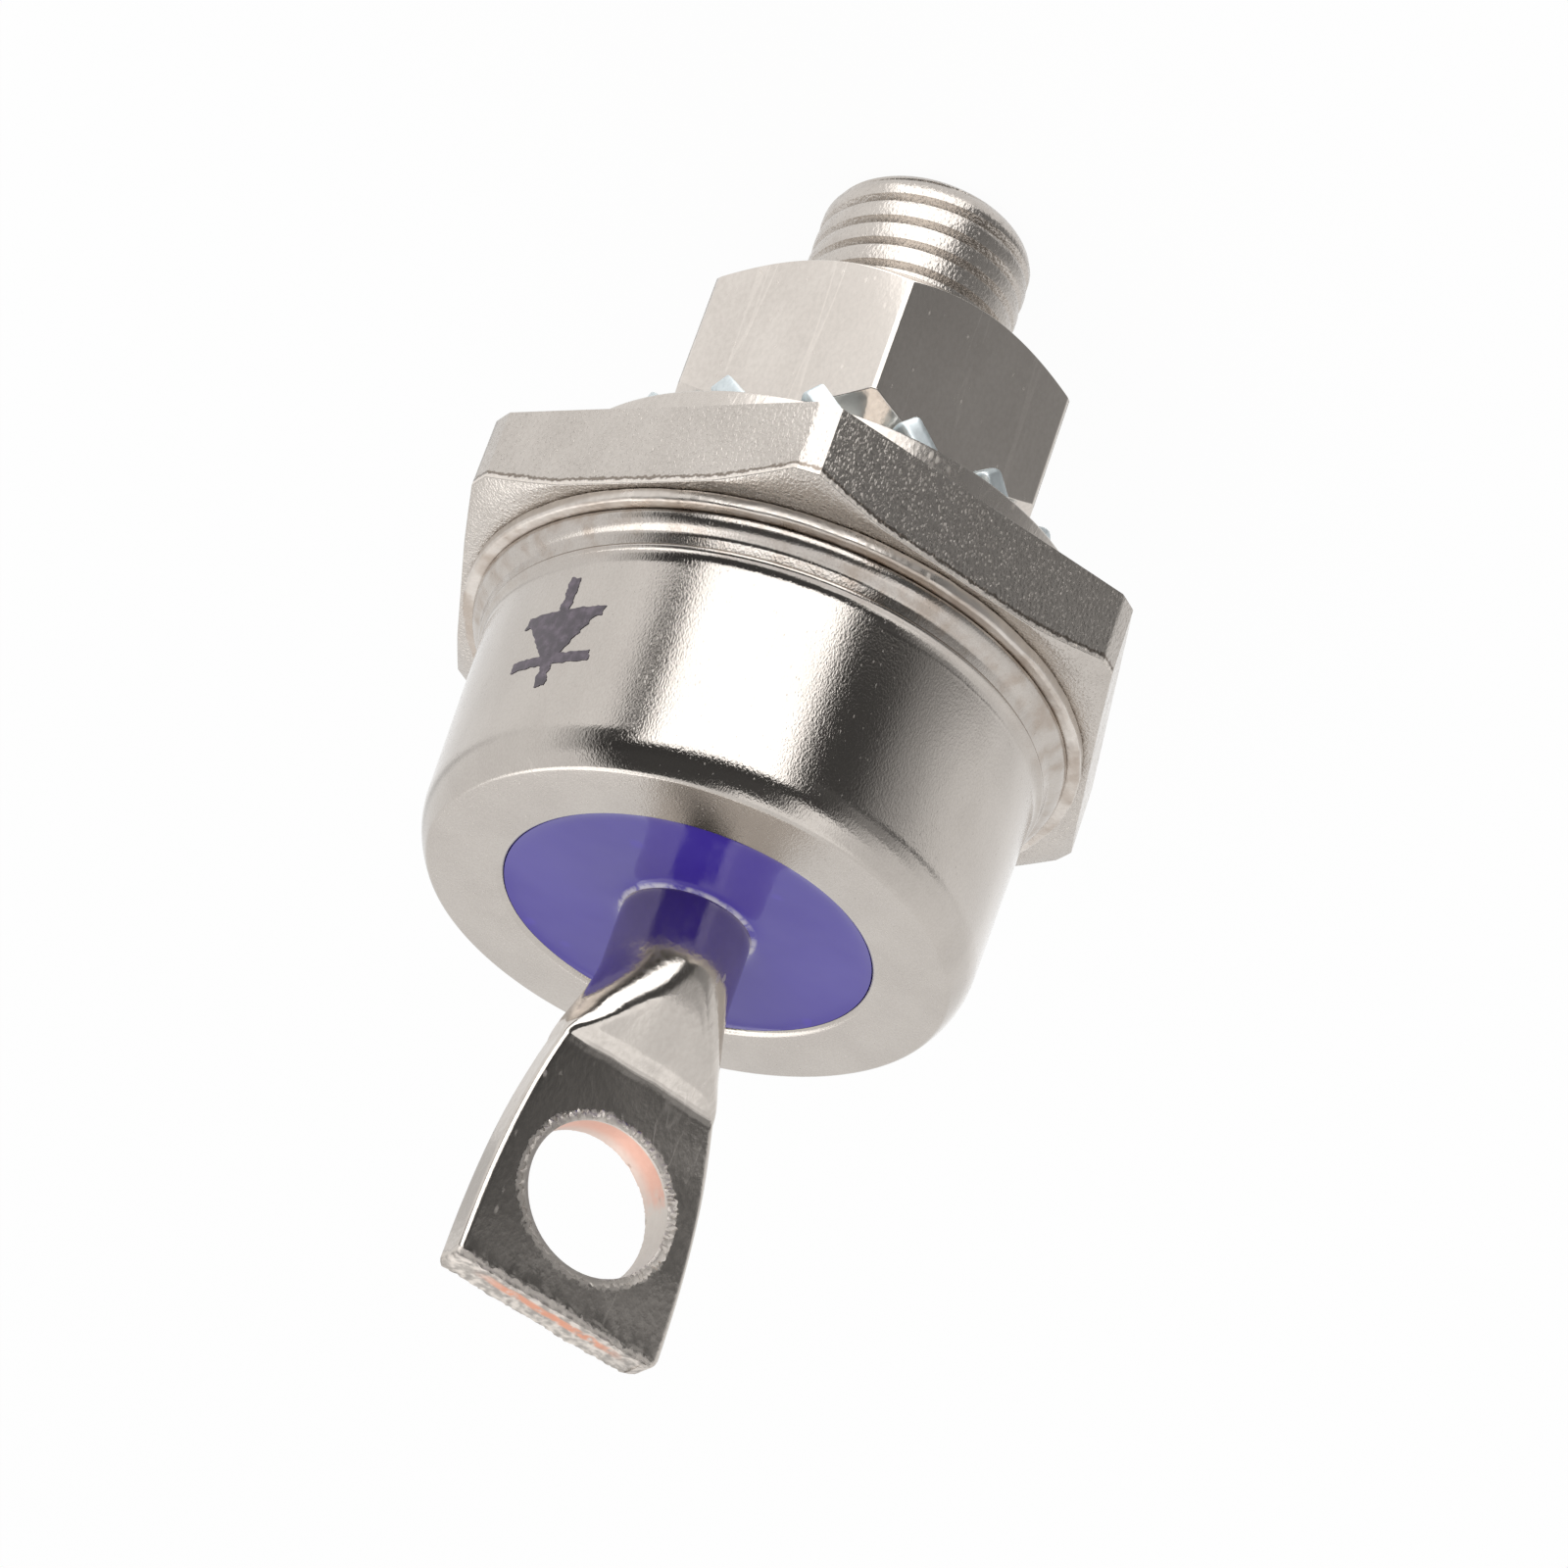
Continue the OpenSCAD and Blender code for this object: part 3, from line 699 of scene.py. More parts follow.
class DIODE_OT_weld_ring(bpy.types.Operator):
    """Models the welded ring between base and cap"""

    bl_idname = "diode.weld_ring"
    bl_label = "Weld ring"

    def execute(self, context):
        s = sizes()
        f = finishes()
        round_r = 0.1 * MM
        inner = RING_R - s.ring_width
        outline = [(inner, HEX_TOP)]
        outline += arc(RING_R - round_r, HEX_TOP + round_r, round_r, -90, 0, 4)
        outline += arc(RING_R - round_r, RING_TOP - round_r, round_r, 0, 90, 4)
        outline += [(BRIM_R, RING_TOP), (inner, RING_TOP), (inner, HEX_TOP)]
        piece = turn_outline(outline, 260)

        def ripple(place):
            flat = math.hypot(place.x, place.y)
            if flat > BRIM_R - 0.02 * MM:
                swell = 1.0 - abs(rough(place, 900.0)) * 0.005
                place.x *= swell
                place.y *= swell
            return place

        reshape(piece, ripple)
        finish = plated_finish("weld_steel", f.nickel, f.nickel_worn, (0.26, 0.42), (1.0, 1.0, 0.3),
                               relief=0.7, scratch_share=0.4, specks=0.1, grain_scale=6000.0, tone=1.15)
        board = finish.board
        _x, _y, height = finish.axes()
        ragged = board.plus(height, board.times(board.noise(finish.place, 2600.0, 3.0), 0.1 * MM))
        line = board.band(ragged, RING_TOP - 0.04 * MM, RING_TOP + 0.02 * MM)
        clouds = board.band(board.noise(finish.place, 900.0, 4.0), 0.35, 0.65)
        tint = board.times(clouds, board.most(board.times(line, 0.5), 0.04))
        finish.tone = board.blend(tint, finish.tone, opaque(f.weld_tint_and_shade))
        hand_over(piece, "welded_ring", seal_finish(finish), ("weld_ring",), 40.0)
        return {"FINISHED"}


def shoulder_start():
    """Height where the cap's wall runs into its shoulder."""
    s = sizes()
    return FACE_Z - s.rim - (s.shoulder - s.rim) * math.sin(s.shoulder_turn)


def cap_radius(height):
    """Radius of the cap's tapered wall at a height."""
    s = sizes()
    low = s.brim_top + s.fillet_rise
    return s.cap_foot + (s.cap_top - s.cap_foot) * (height - low) / (shoulder_start() - low)


# Turn of the brim's upper edge, in degrees, where the foot's groove starts
BRIM_TURN = 65.0


class DIODE_OT_cap(bpy.types.Operator):
    """Models the drawn cap with its brim, hollow foot, soft shoulder and crisp rim"""

    bl_idname = "diode.cap"
    bl_label = "Cap"

    def execute(self, context):
        s = sizes()
        f = finishes()
        side = BRIM_R - s.brim_round
        outline = [(BRIM_R - 0.06 * MM, CAP_LOW)]
        outline += arc(side, s.brim_top - s.brim_round, s.brim_round, 0, BRIM_TURN, 10)
        lean = math.radians(BRIM_TURN)
        groove_r = outline[-1][0] + s.foot_groove * math.cos(lean)
        groove_z = outline[-1][1] + s.foot_groove * math.sin(lean)
        outline += arc(groove_r, groove_z, s.foot_groove, BRIM_TURN + 180, 190, 8)[1:]
        bead = arc(s.cap_foot + 0.04 * MM, s.bead_height, s.foot_bead, -45, 60, 12)
        outline += bead
        steps = 14
        low = bead[-1][1] + 0.07 * MM
        outline.append((cap_radius(low), low))
        high = shoulder_start()
        for step in range(1, steps):
            height = low + (high - low) * step / steps
            outline.append((cap_radius(height), height))
        turn = math.degrees(s.shoulder_turn)
        centre = s.cap_top - s.shoulder
        rim_centre = centre + (s.shoulder - s.rim) * math.cos(s.shoulder_turn)
        outline += arc(centre, high, s.shoulder, 0, turn, 16)
        outline += arc(rim_centre, FACE_Z - s.rim, s.rim, turn, 90, 5)[1:]
        outline += arc(GLASS_R + s.cap_lip, FACE_Z - s.cap_lip, s.cap_lip, 90, 180, 6)
        under = FACE_Z - s.cap_wall
        collar = GLASS_R + s.cap_wall
        inner = s.cap_foot - s.cap_wall
        outline += [(GLASS_R, GLASS_LOW), (collar, GLASS_LOW), (collar, under),
                    (rim_centre - s.cap_wall / 2, under), (s.cap_top - s.cap_wall, high),
                    (inner, s.brim_top), (inner, CAP_LOW), outline[0]]
        piece = turn_outline(outline, 192)
        finish = plated_finish("cap_steel", f.nickel, f.nickel_worn, (f.drawn, f.drawn + 0.06),
                               (1.0, 1.0, 0.1), relief=0.55, scratch_share=0.3, specks=0.06,
                               grain_scale=20000.0, tone=0.9, speck_scale=15000.0)
        board = finish.board
        _x, _y, height = finish.axes()
        # Brown clouds, strongest near the brim and fading up the wall, darken the hollow at the cap's foot:
        # painted shade in the hollow.
        hollow_shade_clouds = board.band(board.noise(finish.place, 1500.0, 4.0), 0.4, 0.7)
        foot = board.fade(height, s.brim_top + 0.1 * MM, s.brim_top + 0.75 * MM)
        finish.tone = board.blend(board.times(foot, hollow_shade_clouds, 0.4), finish.tone, opaque(f.weld_tint_and_shade))
        face = board.band(height, FACE_Z - 0.1 * MM, FACE_Z - 0.02 * MM, 0.0, 0.1)
        brim = board.band(height, s.bead_height, s.bead_height + 0.2 * MM, 0.1, 0.0)
        finish.gloss = board.plus(finish.gloss, board.most(face, brim))
        hand_over(piece, "drawn_cap", seal_finish(finish, 0.008 * MM), ("cap",), 50.0)
        return {"FINISHED"}


class DIODE_OT_mark(bpy.types.Operator):
    """Models the printed polarity mark on the cap's wall"""

    bl_idname = "diode.mark"
    bl_label = "Polarity mark"

    def execute(self, context):
        s = sizes()
        f = finishes()
        span = s.mark_high - s.mark_low
        base = s.mark_low + 0.30 * span
        body = s.mark_low + 0.39 * span
        apex = s.mark_low + 0.71 * span
        bar = s.mark_low + 0.80 * span
        strips = ((s.mark_low, base, s.mark_line, s.mark_line), (base, body, s.mark_half, s.mark_half),
                  (body, apex, 0.85 * s.mark_half, 0.25 * s.mark_half), (apex, bar, s.mark_half, s.mark_half),
                  (bar, s.mark_high, s.mark_line, s.mark_line))
        pieces = []
        for low, high, half_low, half_high in strips:
            clear_selection()
            bpy.ops.mesh.primitive_grid_add(x_subdivisions=40, y_subdivisions=24, size=2.0)
            strip = current()

            def wrap(place, low=low, high=high, half_low=half_low, half_high=half_high):
                rise = (place.y + 1) / 2
                across = place.x * (half_low + (half_high - half_low) * rise)
                height = low + (high - low) * rise
                spot = Vector((across, height, 0.0))
                across += rough(spot, 4200.0) * 0.08 * MM
                height += rough(spot + Vector((0, 0, 1.0)), 4200.0) * 0.05 * MM
                radius = cap_radius(height) + 0.006 * MM
                bearing = s.mark_turn + across / radius
                return Vector((radius * math.cos(bearing), radius * math.sin(bearing), height))

            reshape(strip, wrap)
            pieces.append(strip)
        piece = join(pieces)
        start_edit(piece)
        close_mesh()
        end_edit()
        apply_modifier(piece, "SOLIDIFY", thickness=0.01 * MM, offset=1.0)
        finish = Finish("printed_ink", 0.0)
        board = finish.board
        patchy = board.noise(finish.place, 4200.0, 4.0)
        finish.colour(board.blend(board.band(patchy, 0.35, 0.8), opaque(f.ink), opaque(f.ink, 2.4)))
        finish.roughness(board.band(patchy, 0.3, 0.7, 0.35, 0.6))
        hand_over(piece, "polarity_mark", finish.material, (), 60.0)
        return {"FINISHED"}


class DIODE_OT_glass(bpy.types.Operator):
    """Models the glass seal between cap and terminal"""

    bl_idname = "diode.glass"
    bl_label = "Glass seal"

    def execute(self, context):
        s = sizes()
        f = finishes()
        level = GLASS_PEAK - s.glass_rise
        outline = [(TUBE_R, GLASS_LOW), (GLASS_R, GLASS_LOW)]
        steps = 26
        for step in range(steps + 1):
            radius = GLASS_R + (TUBE_R - GLASS_R) * step / steps
            at_cap = math.exp(-(GLASS_R - radius) / (0.16 * MM)) * 0.05 * MM
            at_post = math.exp(-(radius - TUBE_R) / (0.14 * MM)) * s.glass_rise
            outline.append((radius, level + at_cap + at_post))
        outline.append(outline[0])
        piece = turn_outline(outline, 144)

        def settle(place):
            if place.z > level - 0.1 * MM:
                place.z += rough(place, 420.0) * 0.012 * MM
            return place

        reshape(piece, settle)
        finish = Finish("seal_glass", 0.0, IOR=1.6)
        board = finish.board
        swirl = board.noise(finish.place, 260.0, 3.0)
        bubbles = finish.specks(1700.0, 0.05)
        shade = board.blend(board.band(swirl, 0.3, 0.7), opaque(f.glass), opaque(f.glass_pale))
        across, depth, _z = finish.axes()
        away = board.distance(across, depth)
        # Pale ragged ring on the glass next to the terminal: painted highlight of the meniscus.
        meniscus_highlight_mask = board.times(board.band(away, TUBE_R + 0.04 * MM, TUBE_R + 0.16 * MM, 0.8, 0.0),
                            board.band(board.noise(finish.place, 3000.0, 3.0), 0.35, 0.6))
        shade = board.blend(meniscus_highlight_mask, shade, opaque(f.painted_meniscus_highlight))
        finish.colour(board.blend(board.times(bubbles, 0.25), shade, opaque(f.glass, 1.8)))
        finish.roughness(board.band(board.noise(finish.place, 1900.0, 3.0), 0.35, 0.75, 0.05, 0.16))
        finish.bump(board.noise(finish.place, 800.0, 2.0), 0.12, 0.02 * MM)
        hand_over(piece, "glass_seal_disc", finish.material, ("glass_seal",), 40.0)
        return {"FINISHED"}


def ease(part):
    part = min(max(part, 0.0), 1.0)
    return part * part * (3 - 2 * part)


def section_point(half_w, half_t, corner, turn):
    """Point at a share of the way round a rounded rectangle, from the middle of its +X side."""
    side = half_t - corner
    front = half_w - corner
    bend = corner * math.pi / 2
    way = turn * (4 * (side + front) + 4 * bend)
    legs = (side, bend, 2 * front, bend, 2 * side, bend, 2 * front, bend, side)
    centres = ((front, side), (-front, side), (-front, -side), (front, -side))
    starts = ((half_w, 0.0), None, (front, half_t), None, (-half_w, side), None, (-front, -half_t), None,
              (half_w, -side))
    headings = ((0, 1), None, (-1, 0), None, (0, -1), None, (1, 0), None, (0, 1))
    for leg, span in enumerate(legs):
        if way <= span or leg == len(legs) - 1:
            break
        way -= span
    if leg % 2 == 0:
        return starts[leg][0] + headings[leg][0] * way, starts[leg][1] + headings[leg][1] * way
    quarter = leg // 2
    sweep = quarter * math.pi / 2 + way / corner
    return centres[quarter][0] + corner * math.cos(sweep), centres[quarter][1] + corner * math.sin(sweep)


def press(part):
    """Share of the pressing done at a share of the flare: late, with a soft end."""
    bend = sizes().press_bend
    soft = 0.85
    if part < soft:
        return part ** bend
    start = soft ** bend
    slope = bend * soft ** (bend - 1) * (1 - soft)
    left = (part - soft) / (1 - soft)
    return start + slope * left * (1 - left) ** 2 + (1 - start) * ease(left)


def tab_section(height):
    """Half-width, half-thickness and corner radius of the terminal at a height."""
    s = sizes()
    if height <= s.flare_low:
        return TUBE_R, TUBE_R, TUBE_R
    if height < s.flare_high:
        part = (height - s.flare_low) / (s.flare_high - s.flare_low)
        ramp = press(part)
        half_t = TUBE_R + (s.tab_thick - TUBE_R) * ramp
        half_w = TUBE_R + (s.tab_start - TUBE_R) * ease(part)
        corner = half_t + (s.tab_edge - s.tab_thick) * ease((part - 0.6) / 0.4)
        return half_w, half_t, min(corner, half_t * 0.999)
    part = (height - s.flare_high) / (TAB_END - s.flare_high)
    half_w = TAB_HALF_W - (TAB_HALF_W - s.tab_start) * max(0.0, 1 - part) ** 2.5
    return half_w, s.tab_thick, s.tab_edge


def press_flat(place):
    """Takes a point of the round tube to where pressing, shearing and its burrs put it."""
    s = sizes()
    if place.z <= s.flare_low or math.hypot(place.x, place.y) < TUBE_R - 0.1 * MM:
        return place
    level = place.z + rough(Vector((place.x, place.y, 0.0)), 700.0, 2) * 0.06 * MM
    half_w, half_t, corner = tab_section(level)
    turn = (math.atan2(place.y, place.x) / FULL_TURN) % 1.0
    x, y = section_point(half_w, half_t, corner, turn)
    pressed = ease((place.z - s.flare_low) / (s.flare_high - s.flare_low))
    wave = rough(Vector((x, 0.0, place.z)), 420.0, 2) * 0.012 * MM * pressed
    y *= 1.0 - pressed * s.tab_bow * (x / half_w) ** 2 + wave / half_t
    for side, radius in ((1, 0.12 * MM), (-1, 0.42 * MM)):
        over = place.z - (TAB_END - radius)
        if over > 0 and side * x > 0:
            inset = radius - math.sqrt(max(0.0, radius * radius - over * over))
            x -= side * inset * min(1.0, abs(x) / half_w)
    near_end = math.exp(-(TAB_END - place.z) / (0.16 * MM))
    spot = Vector((x, y, place.z))
    y += math.copysign(near_end * abs(rough(spot, 3600.0)) * 0.13 * MM, y)
    height = place.z - near_end * abs(rough(spot + Vector((1, 0, 0)), 2400.0)) * 0.06 * MM
    return Vector((x, y, height))


def terminal_levels():
    """Heights of the rings along the terminal, closer in the flare and at the sheared end."""
    s = sizes()
    levels = [TUBE_LOW + (s.flare_low - TUBE_LOW) * step / 12 for step in range(12)]
    levels += [s.flare_low + (s.flare_high - s.flare_low) * step / 36 for step in range(36)]
    levels += [s.flare_high + (TAB_END - 0.4 * MM - s.flare_high) * step / 28 for step in range(28)]
    levels += [TAB_END - 0.4 * MM + 0.4 * MM * step / 8 for step in range(9)]
    return levels


def eye_burr(front):
    """Ragged ring that the punch leaves round the eye on one face of the tab."""
    s = sizes()
    hump = [(0.0, -0.05), (0.0, 0.04), (0.06, 0.08), (0.13, 0.09), (0.2, 0.07), (0.28, 0.045), (0.36, -0.03),
            (0.36, -0.05), (0.0, -0.05)]
    piece = turn_outline([(s.eye + along * MM, rise * MM) for along, rise in hump], 260)

    def ruffle(place):
        flat = math.hypot(place.x, place.y)
        bearing = math.atan2(place.y, place.x)
        strands = Vector((36 * math.cos(bearing), 36 * math.sin(bearing), flat / MM))
        side = 0.6 - 0.4 * (place.x + place.y) / flat
        torn = side * (0.6 + 0.7 * rough(strands, 1.0) + 0.5 * rough(strands, 2.3))
        grow = (flat - s.eye) * (0.45 + 0.35 * side) * (1.0 + 0.6 * rough(strands, 0.8)) + s.eye
        rise = place.z * max(0.1, torn) if place.z > 0 else place.z
        reach_out = s.tab_thick + rise
        return Vector((place.x * grow / flat, -front * reach_out, place.y * grow / flat + s.eye_height))

    reshape(piece, ruffle)
    start_edit(piece)
    close_mesh()
    end_edit()
    return piece


class DIODE_OT_terminal(bpy.types.Operator):
    """Models the terminal: a tube pressed flat and punched with an eye"""

    bl_idname = "diode.terminal"
    bl_label = "Terminal"

    def execute(self, context):
        s = sizes()
        bore_top = s.flare_low
        outline = [(0.0, bore_top), (s.tube_bore, bore_top), (s.tube_bore, TUBE_LOW)]
        outline += [(TUBE_R, height) for height in terminal_levels()]
        piece = turn_outline(outline, 208)
        start_edit(piece)
        pick(piece, "EDGE", lambda edge: all(v.co.z > TAB_END - WELD for v in edge.verts))
        bpy.ops.mesh.fill_holes(sides=0)
        bpy.ops.mesh.select_all(action="SELECT")
        bpy.ops.mesh.normals_make_consistent(inside=False)
        end_edit()
        reshape(piece, press_flat)
        clear_selection()
        bpy.ops.mesh.primitive_cylinder_add(vertices=128, radius=s.eye, depth=4 * MM,
                                            location=(0, 0, s.eye_height), rotation=(math.pi / 2, 0, 0))
        bpy.ops.object.transform_apply(location=True, rotation=True, scale=True)
        combine(piece, current(), "DIFFERENCE")
        piece = join([piece, eye_burr(1.0), eye_burr(-1.0)])
        hand_over(piece, "eye_terminal", self.finish(), ("terminal",), 42.0)
        return {"FINISHED"}

    def finish(self):
        """Plating with bare copper in the eye and at the sheared end, and ragged rims with painted shade and
        a painted highlight on one side.
        """
        s = sizes()
        f = finishes()
        finish = plated_finish("plated_terminal", f.nickel, f.nickel_worn, (0.1, 0.18), (1.0, 1.0, 0.2),
                               relief=0.2, scratch_share=0.36, specks=0.04, grain_scale=7000.0)
        board = finish.board
        across, depth, height = finish.axes()
        rise = board.minus(height, s.eye_height)
        away = board.distance(across, rise)
        torn = board.noise(finish.place, 4200.0, 4.0)
        wall = board.fade(away, s.eye + 0.005 * MM, s.eye + 0.03 * MM)
        upper = board.fade(board.plus(rise, board.times(torn, 0.8 * MM)), -1.0 * MM, -0.3 * MM)
        front = board.band(depth, -0.47 * MM, -0.43 * MM)
        back = board.band(depth, -0.1 * MM, 0.45 * MM, 1.0, 0.35)
        eye_copper = board.times(wall, upper, front, back)
        middle = board.fade(board.math("ABSOLUTE", board.plus(depth, 0.16 * MM)), 0.08 * MM, 0.22 * MM)
        centre = board.fade(board.math("ABSOLUTE", across), 1.3 * MM, 2.5 * MM)
        end = board.band(height, TAB_END - 0.14 * MM, TAB_END - 0.07 * MM)
        patches = board.band(board.noise(finish.place, 2600.0, 5.0), 0.33, 0.5)
        end_copper = board.times(middle, end, patches, centre)
        # The ragged eye rim and the sheared edge are darkened as painted shade; then a painted highlight
        # lightens the rim on one side and the sheared edge.
        lean = board.band(board.plus(across, rise), -1.6 * MM, 1.4 * MM, 1.0, 0.1)
        strands = board.times(board.minus(torn, 0.5), 0.5 * MM)
        rim = board.fade(board.plus(away, strands), s.eye + 0.2 * MM, s.eye + 0.32 * MM)
        fringe = board.plus(height, board.times(torn, 0.5 * MM))
        sheared = board.most(end, board.band(fringe, TAB_END - 0.02 * MM, TAB_END + 0.08 * MM))
        ragged = board.most(rim, sheared)
        light = board.most(board.times(rim, lean), sheared)
        worn_end = board.times(end, board.band(torn, 0.35, 0.65), 0.85)
        layers = ((board.times(ragged, 0.6), opaque(f.nickel, 0.5)),
                  (board.times(light, 0.6), opaque(f.nickel, 1.3)), (worn_end, opaque(f.nickel, 0.5)),
                  (eye_copper, opaque(f.copper)), (end_copper, opaque(f.torn_copper)))
        for mask, shade in layers:
            finish.tone = board.blend(mask, finish.tone, shade)
        finish.gloss = board.plus(finish.gloss, board.times(ragged, 0.4))
        finish.height = board.plus(finish.height, board.times(ragged, torn, 3.5))
        return seal_finish(finish, 0.015 * MM)


class DIODE_OT_flat_washer(bpy.types.Operator):
    """Models the flat washer"""

    bl_idname = "diode.flat_washer"
    bl_label = "Flat washer"

    def execute(self, context):
        s = sizes()
        f = finishes()
        edge = s.washer_edge
        outline = [(s.washer_hole, SEAT_Z)]
        outline += arc(WASHER_R - edge / 3, SEAT_Z - edge / 3, edge / 3, 90, 0, 4)
        outline += arc(WASHER_R - edge, WASHER_LOW + edge, edge, 0, -90, 6)
        outline += [(s.washer_hole + edge / 2, WASHER_LOW), (s.washer_hole, WASHER_LOW + edge / 2),
                    (s.washer_hole, SEAT_Z)]
        piece = turn_outline(outline, 160)
        finish = plated_finish("plated_washer", f.nickel, f.nickel_worn, (0.2, 0.34), (1.0, 1.0, 0.4),
                               relief=0.5, specks=0.08)
        hand_over(piece, "plain_washer", seal_finish(finish), ("flat_washer",), 40.0)
        return {"FINISHED"}


class DIODE_OT_lock_washer(bpy.types.Operator):
    """Models the lock washer with its twisted outer teeth"""

    bl_idname = "diode.lock_washer"
    bl_label = "Toothed lock washer"

    def execute(self, context):
        s = sizes()
        f = finishes()
        half = s.lock_thick / 2
        ring = turn_outline([(s.washer_hole, LOCK_MID - half), (s.tooth_root, LOCK_MID - half),
                             (s.tooth_root, LOCK_MID + half), (s.washer_hole, LOCK_MID + half),
                             (s.washer_hole, LOCK_MID - half)], 150)
        soften(ring, 0.1 * MM, 2)
        overlap = 0.5 * MM
        start = s.tooth_root - overlap
        clear_selection()
        bpy.ops.mesh.primitive_cube_add(size=2.0)
        tooth = current()
        start_edit(tooth)
        bpy.ops.mesh.select_all(action="SELECT")
        bpy.ops.mesh.bevel(offset=0.28, segments=4, profile=0.5, affect="EDGES")
        bpy.ops.mesh.select_all(action="SELECT")
        bpy.ops.mesh.subdivide(number_cuts=3)
        end_edit()

        def twist(place):
            part = (place.x + 1) / 2
            wide = (s.tooth_wide + (s.tooth_tip - s.tooth_wide) * part) / 2
            turn = s.tooth_twist * ease(part)
            y = place.y * wide
            z = place.z * half * 0.97
            return Vector((start + (TIP_R - start) * part, y * math.cos(turn) - z * math.sin(turn),
                           y * math.sin(turn) + z * math.cos(turn) + LOCK_MID))

        reshape(tooth, twist)
        tooth.data.transform(Matrix.Rotation(s.tooth_turn, 4, "Z"))
        piece = join([ring] + copies_round(tooth, s.tooth_count))
        finish = plated_finish("zinc_washer", f.zinc, f.zinc_dull, (0.36, 0.5), (1.0, 1.0, 1.0), relief=0.3,
                               scratch_share=0.36, specks=0.04)
        hand_over(piece, "toothed_washer", seal_finish(finish), ("tooth_lock_washer",), 60.0)
        return {"FINISHED"}


class DIODE_OT_nut(bpy.types.Operator):
    """Models the hexagonal nut with chamfered corners and a countersunk hole"""

    bl_idname = "diode.nut"
    bl_label = "Nut"

    def execute(self, context):
        s = sizes()
        f = finishes()
        corner = s.nut_corner
        drop = (corner - s.nut_chamfer) * math.tan(s.nut_slope)
        nut = hex_prism(s.nut_flats, s.nut_turn, NUT_LOW - TOOL_OVER, NUT_TOP + TOOL_OVER)
        sink = s.nut_sink - s.nut_hole
        trim = turn_outline([(s.nut_sink, NUT_LOW), (s.nut_chamfer, NUT_LOW), (corner, NUT_LOW + drop),
                             (corner, NUT_TOP - drop), (s.nut_chamfer, NUT_TOP), (s.nut_sink, NUT_TOP),
                             (s.nut_hole, NUT_TOP - sink), (s.nut_hole, NUT_LOW + sink),
                             (s.nut_sink, NUT_LOW)], 240)
        combine(nut, trim, "INTERSECT")
        soften(nut, 0.03 * MM)
        finish = plated_finish("plated_nut", f.nickel, f.nickel_worn, (f.satin - 0.03, f.satin + 0.05),
                               (1.0, 1.0, 0.06), relief=0.3, scratch_share=0.42, specks=0.03, tone=1.12,
                               speck_scale=9000.0)
        hand_over(nut, "stud_nut", seal_finish(finish, 0.008 * MM), ("hex_nut",), 30.0, True)
        return {"FINISHED"}


# Pieces inside the cap

# Dark and light colour, metallic share and gloss of each inner finish, and the nodes that wear it
INSIDE = {
    "solder": ((0.42, 0.43, 0.46), (0.58, 0.59, 0.62), 1.0, 0.45,
               ("base_solder", "lower_die_solder", "upper_die_solder", "lead_solder")),
    "molybdenum": ((0.22, 0.225, 0.25), (0.34, 0.345, 0.37), 1.0, 0.35,
                   ("lower_buffer_disc", "upper_buffer_disc")),
    "silicon": ((0.05, 0.055, 0.075), (0.09, 0.095, 0.12), 0.6, 0.12, ("silicon_die",)),
    "bare_copper": ((0.55, 0.22, 0.12), (0.75, 0.34, 0.2), 1.0, 0.3, ("inner_lead",)),
    "silicone": ((0.62, 0.6, 0.54), (0.74, 0.72, 0.66), 0.0, 0.4, ("junction_coating",)),
}


class DIODE_OT_inside(bpy.types.Operator):
    """Gives the die stack, the lead and the coating under the cap their finishes"""

    bl_idname = "diode.inside"
    bl_label = "Inner pieces"

    def execute(self, context):
        for title, (dark, light, metallic, gloss, nodes) in INSIDE.items():
            finish = Finish(title, metallic)
            board = finish.board
            grain = finish.grain(7000.0, 900.0)
            mixed = board.plus(board.times(grain["Grain"], 0.5), board.times(grain["Clouds"], 0.5))
            finish.colour(board.blend(mixed, opaque(dark), opaque(light)))
            finish.roughness(board.band(mixed, 0.0, 1.0, gloss, gloss + 0.15))
            finish.bump(grain["Grain"], 0.3, 0.01 * MM)
            for node in nodes:
                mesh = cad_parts[node].data
                mesh.materials.clear()
                mesh.materials.append(finish.material)
        return {"FINISHED"}


# Stage

def shown_rays(board):
    """One where a camera, mirror or glass ray arrives, else nothing."""
    path = board.put("ShaderNodeLightPath").outputs
    return board.most(path["Is Camera Ray"], path["Is Glossy Ray"], path["Is Transmission Ray"])


def make_room(stage):
    """White room for the camera and for reflections, softer light for the surfaces."""
    world = bpy.data.worlds.new("studio")
    bpy.context.scene.world = world
    world.use_nodes = True
    board = Board(world.node_tree)
    soft = board.put("ShaderNodeBackground", {"Color": (1, 1, 1, 1), "Strength": stage.ambient})
    white = board.put("ShaderNodeBackground", {"Color": (1, 1, 1, 1), "Strength": 1.0})
    mix = board.put("ShaderNodeMixShader", {0: shown_rays(board), 1: soft.outputs[0], 2: white.outputs[0]})
    board.put("ShaderNodeOutputWorld", {"Surface": mix.outputs[0]})


def make_floor():
    """White floor that keeps a soft shadow."""
    clear_selection()
    bpy.ops.mesh.primitive_circle_add(vertices=64, radius=3.0, fill_type="NGON", location=(0, 0, STUD_END))
    floor = current()
    floor.name = "floor"
    material, board = new_material("floor_paper")
    paper = board.put("ShaderNodeBsdfDiffuse", {"Color": (0.92, 0.92, 0.92, 1)})
    glow = board.put("ShaderNodeEmission", {"Color": (1, 1, 1, 1), "Strength": 1.0})
    keep = board.times(shown_rays(board), 0.95)
    mix = board.put("ShaderNodeMixShader", {0: keep, 1: paper.outputs[0], 2: glow.outputs[0]})
    board.put("ShaderNodeOutputMaterial", {"Surface": mix.outputs[0]})
    floor.data.materials.append(material)


def only_reflected(card):
    """Leaves a card to the reflections alone."""
    card.visible_camera = False
    card.visible_diffuse = False
    card.visible_shadow = False
    card.visible_transmission = False


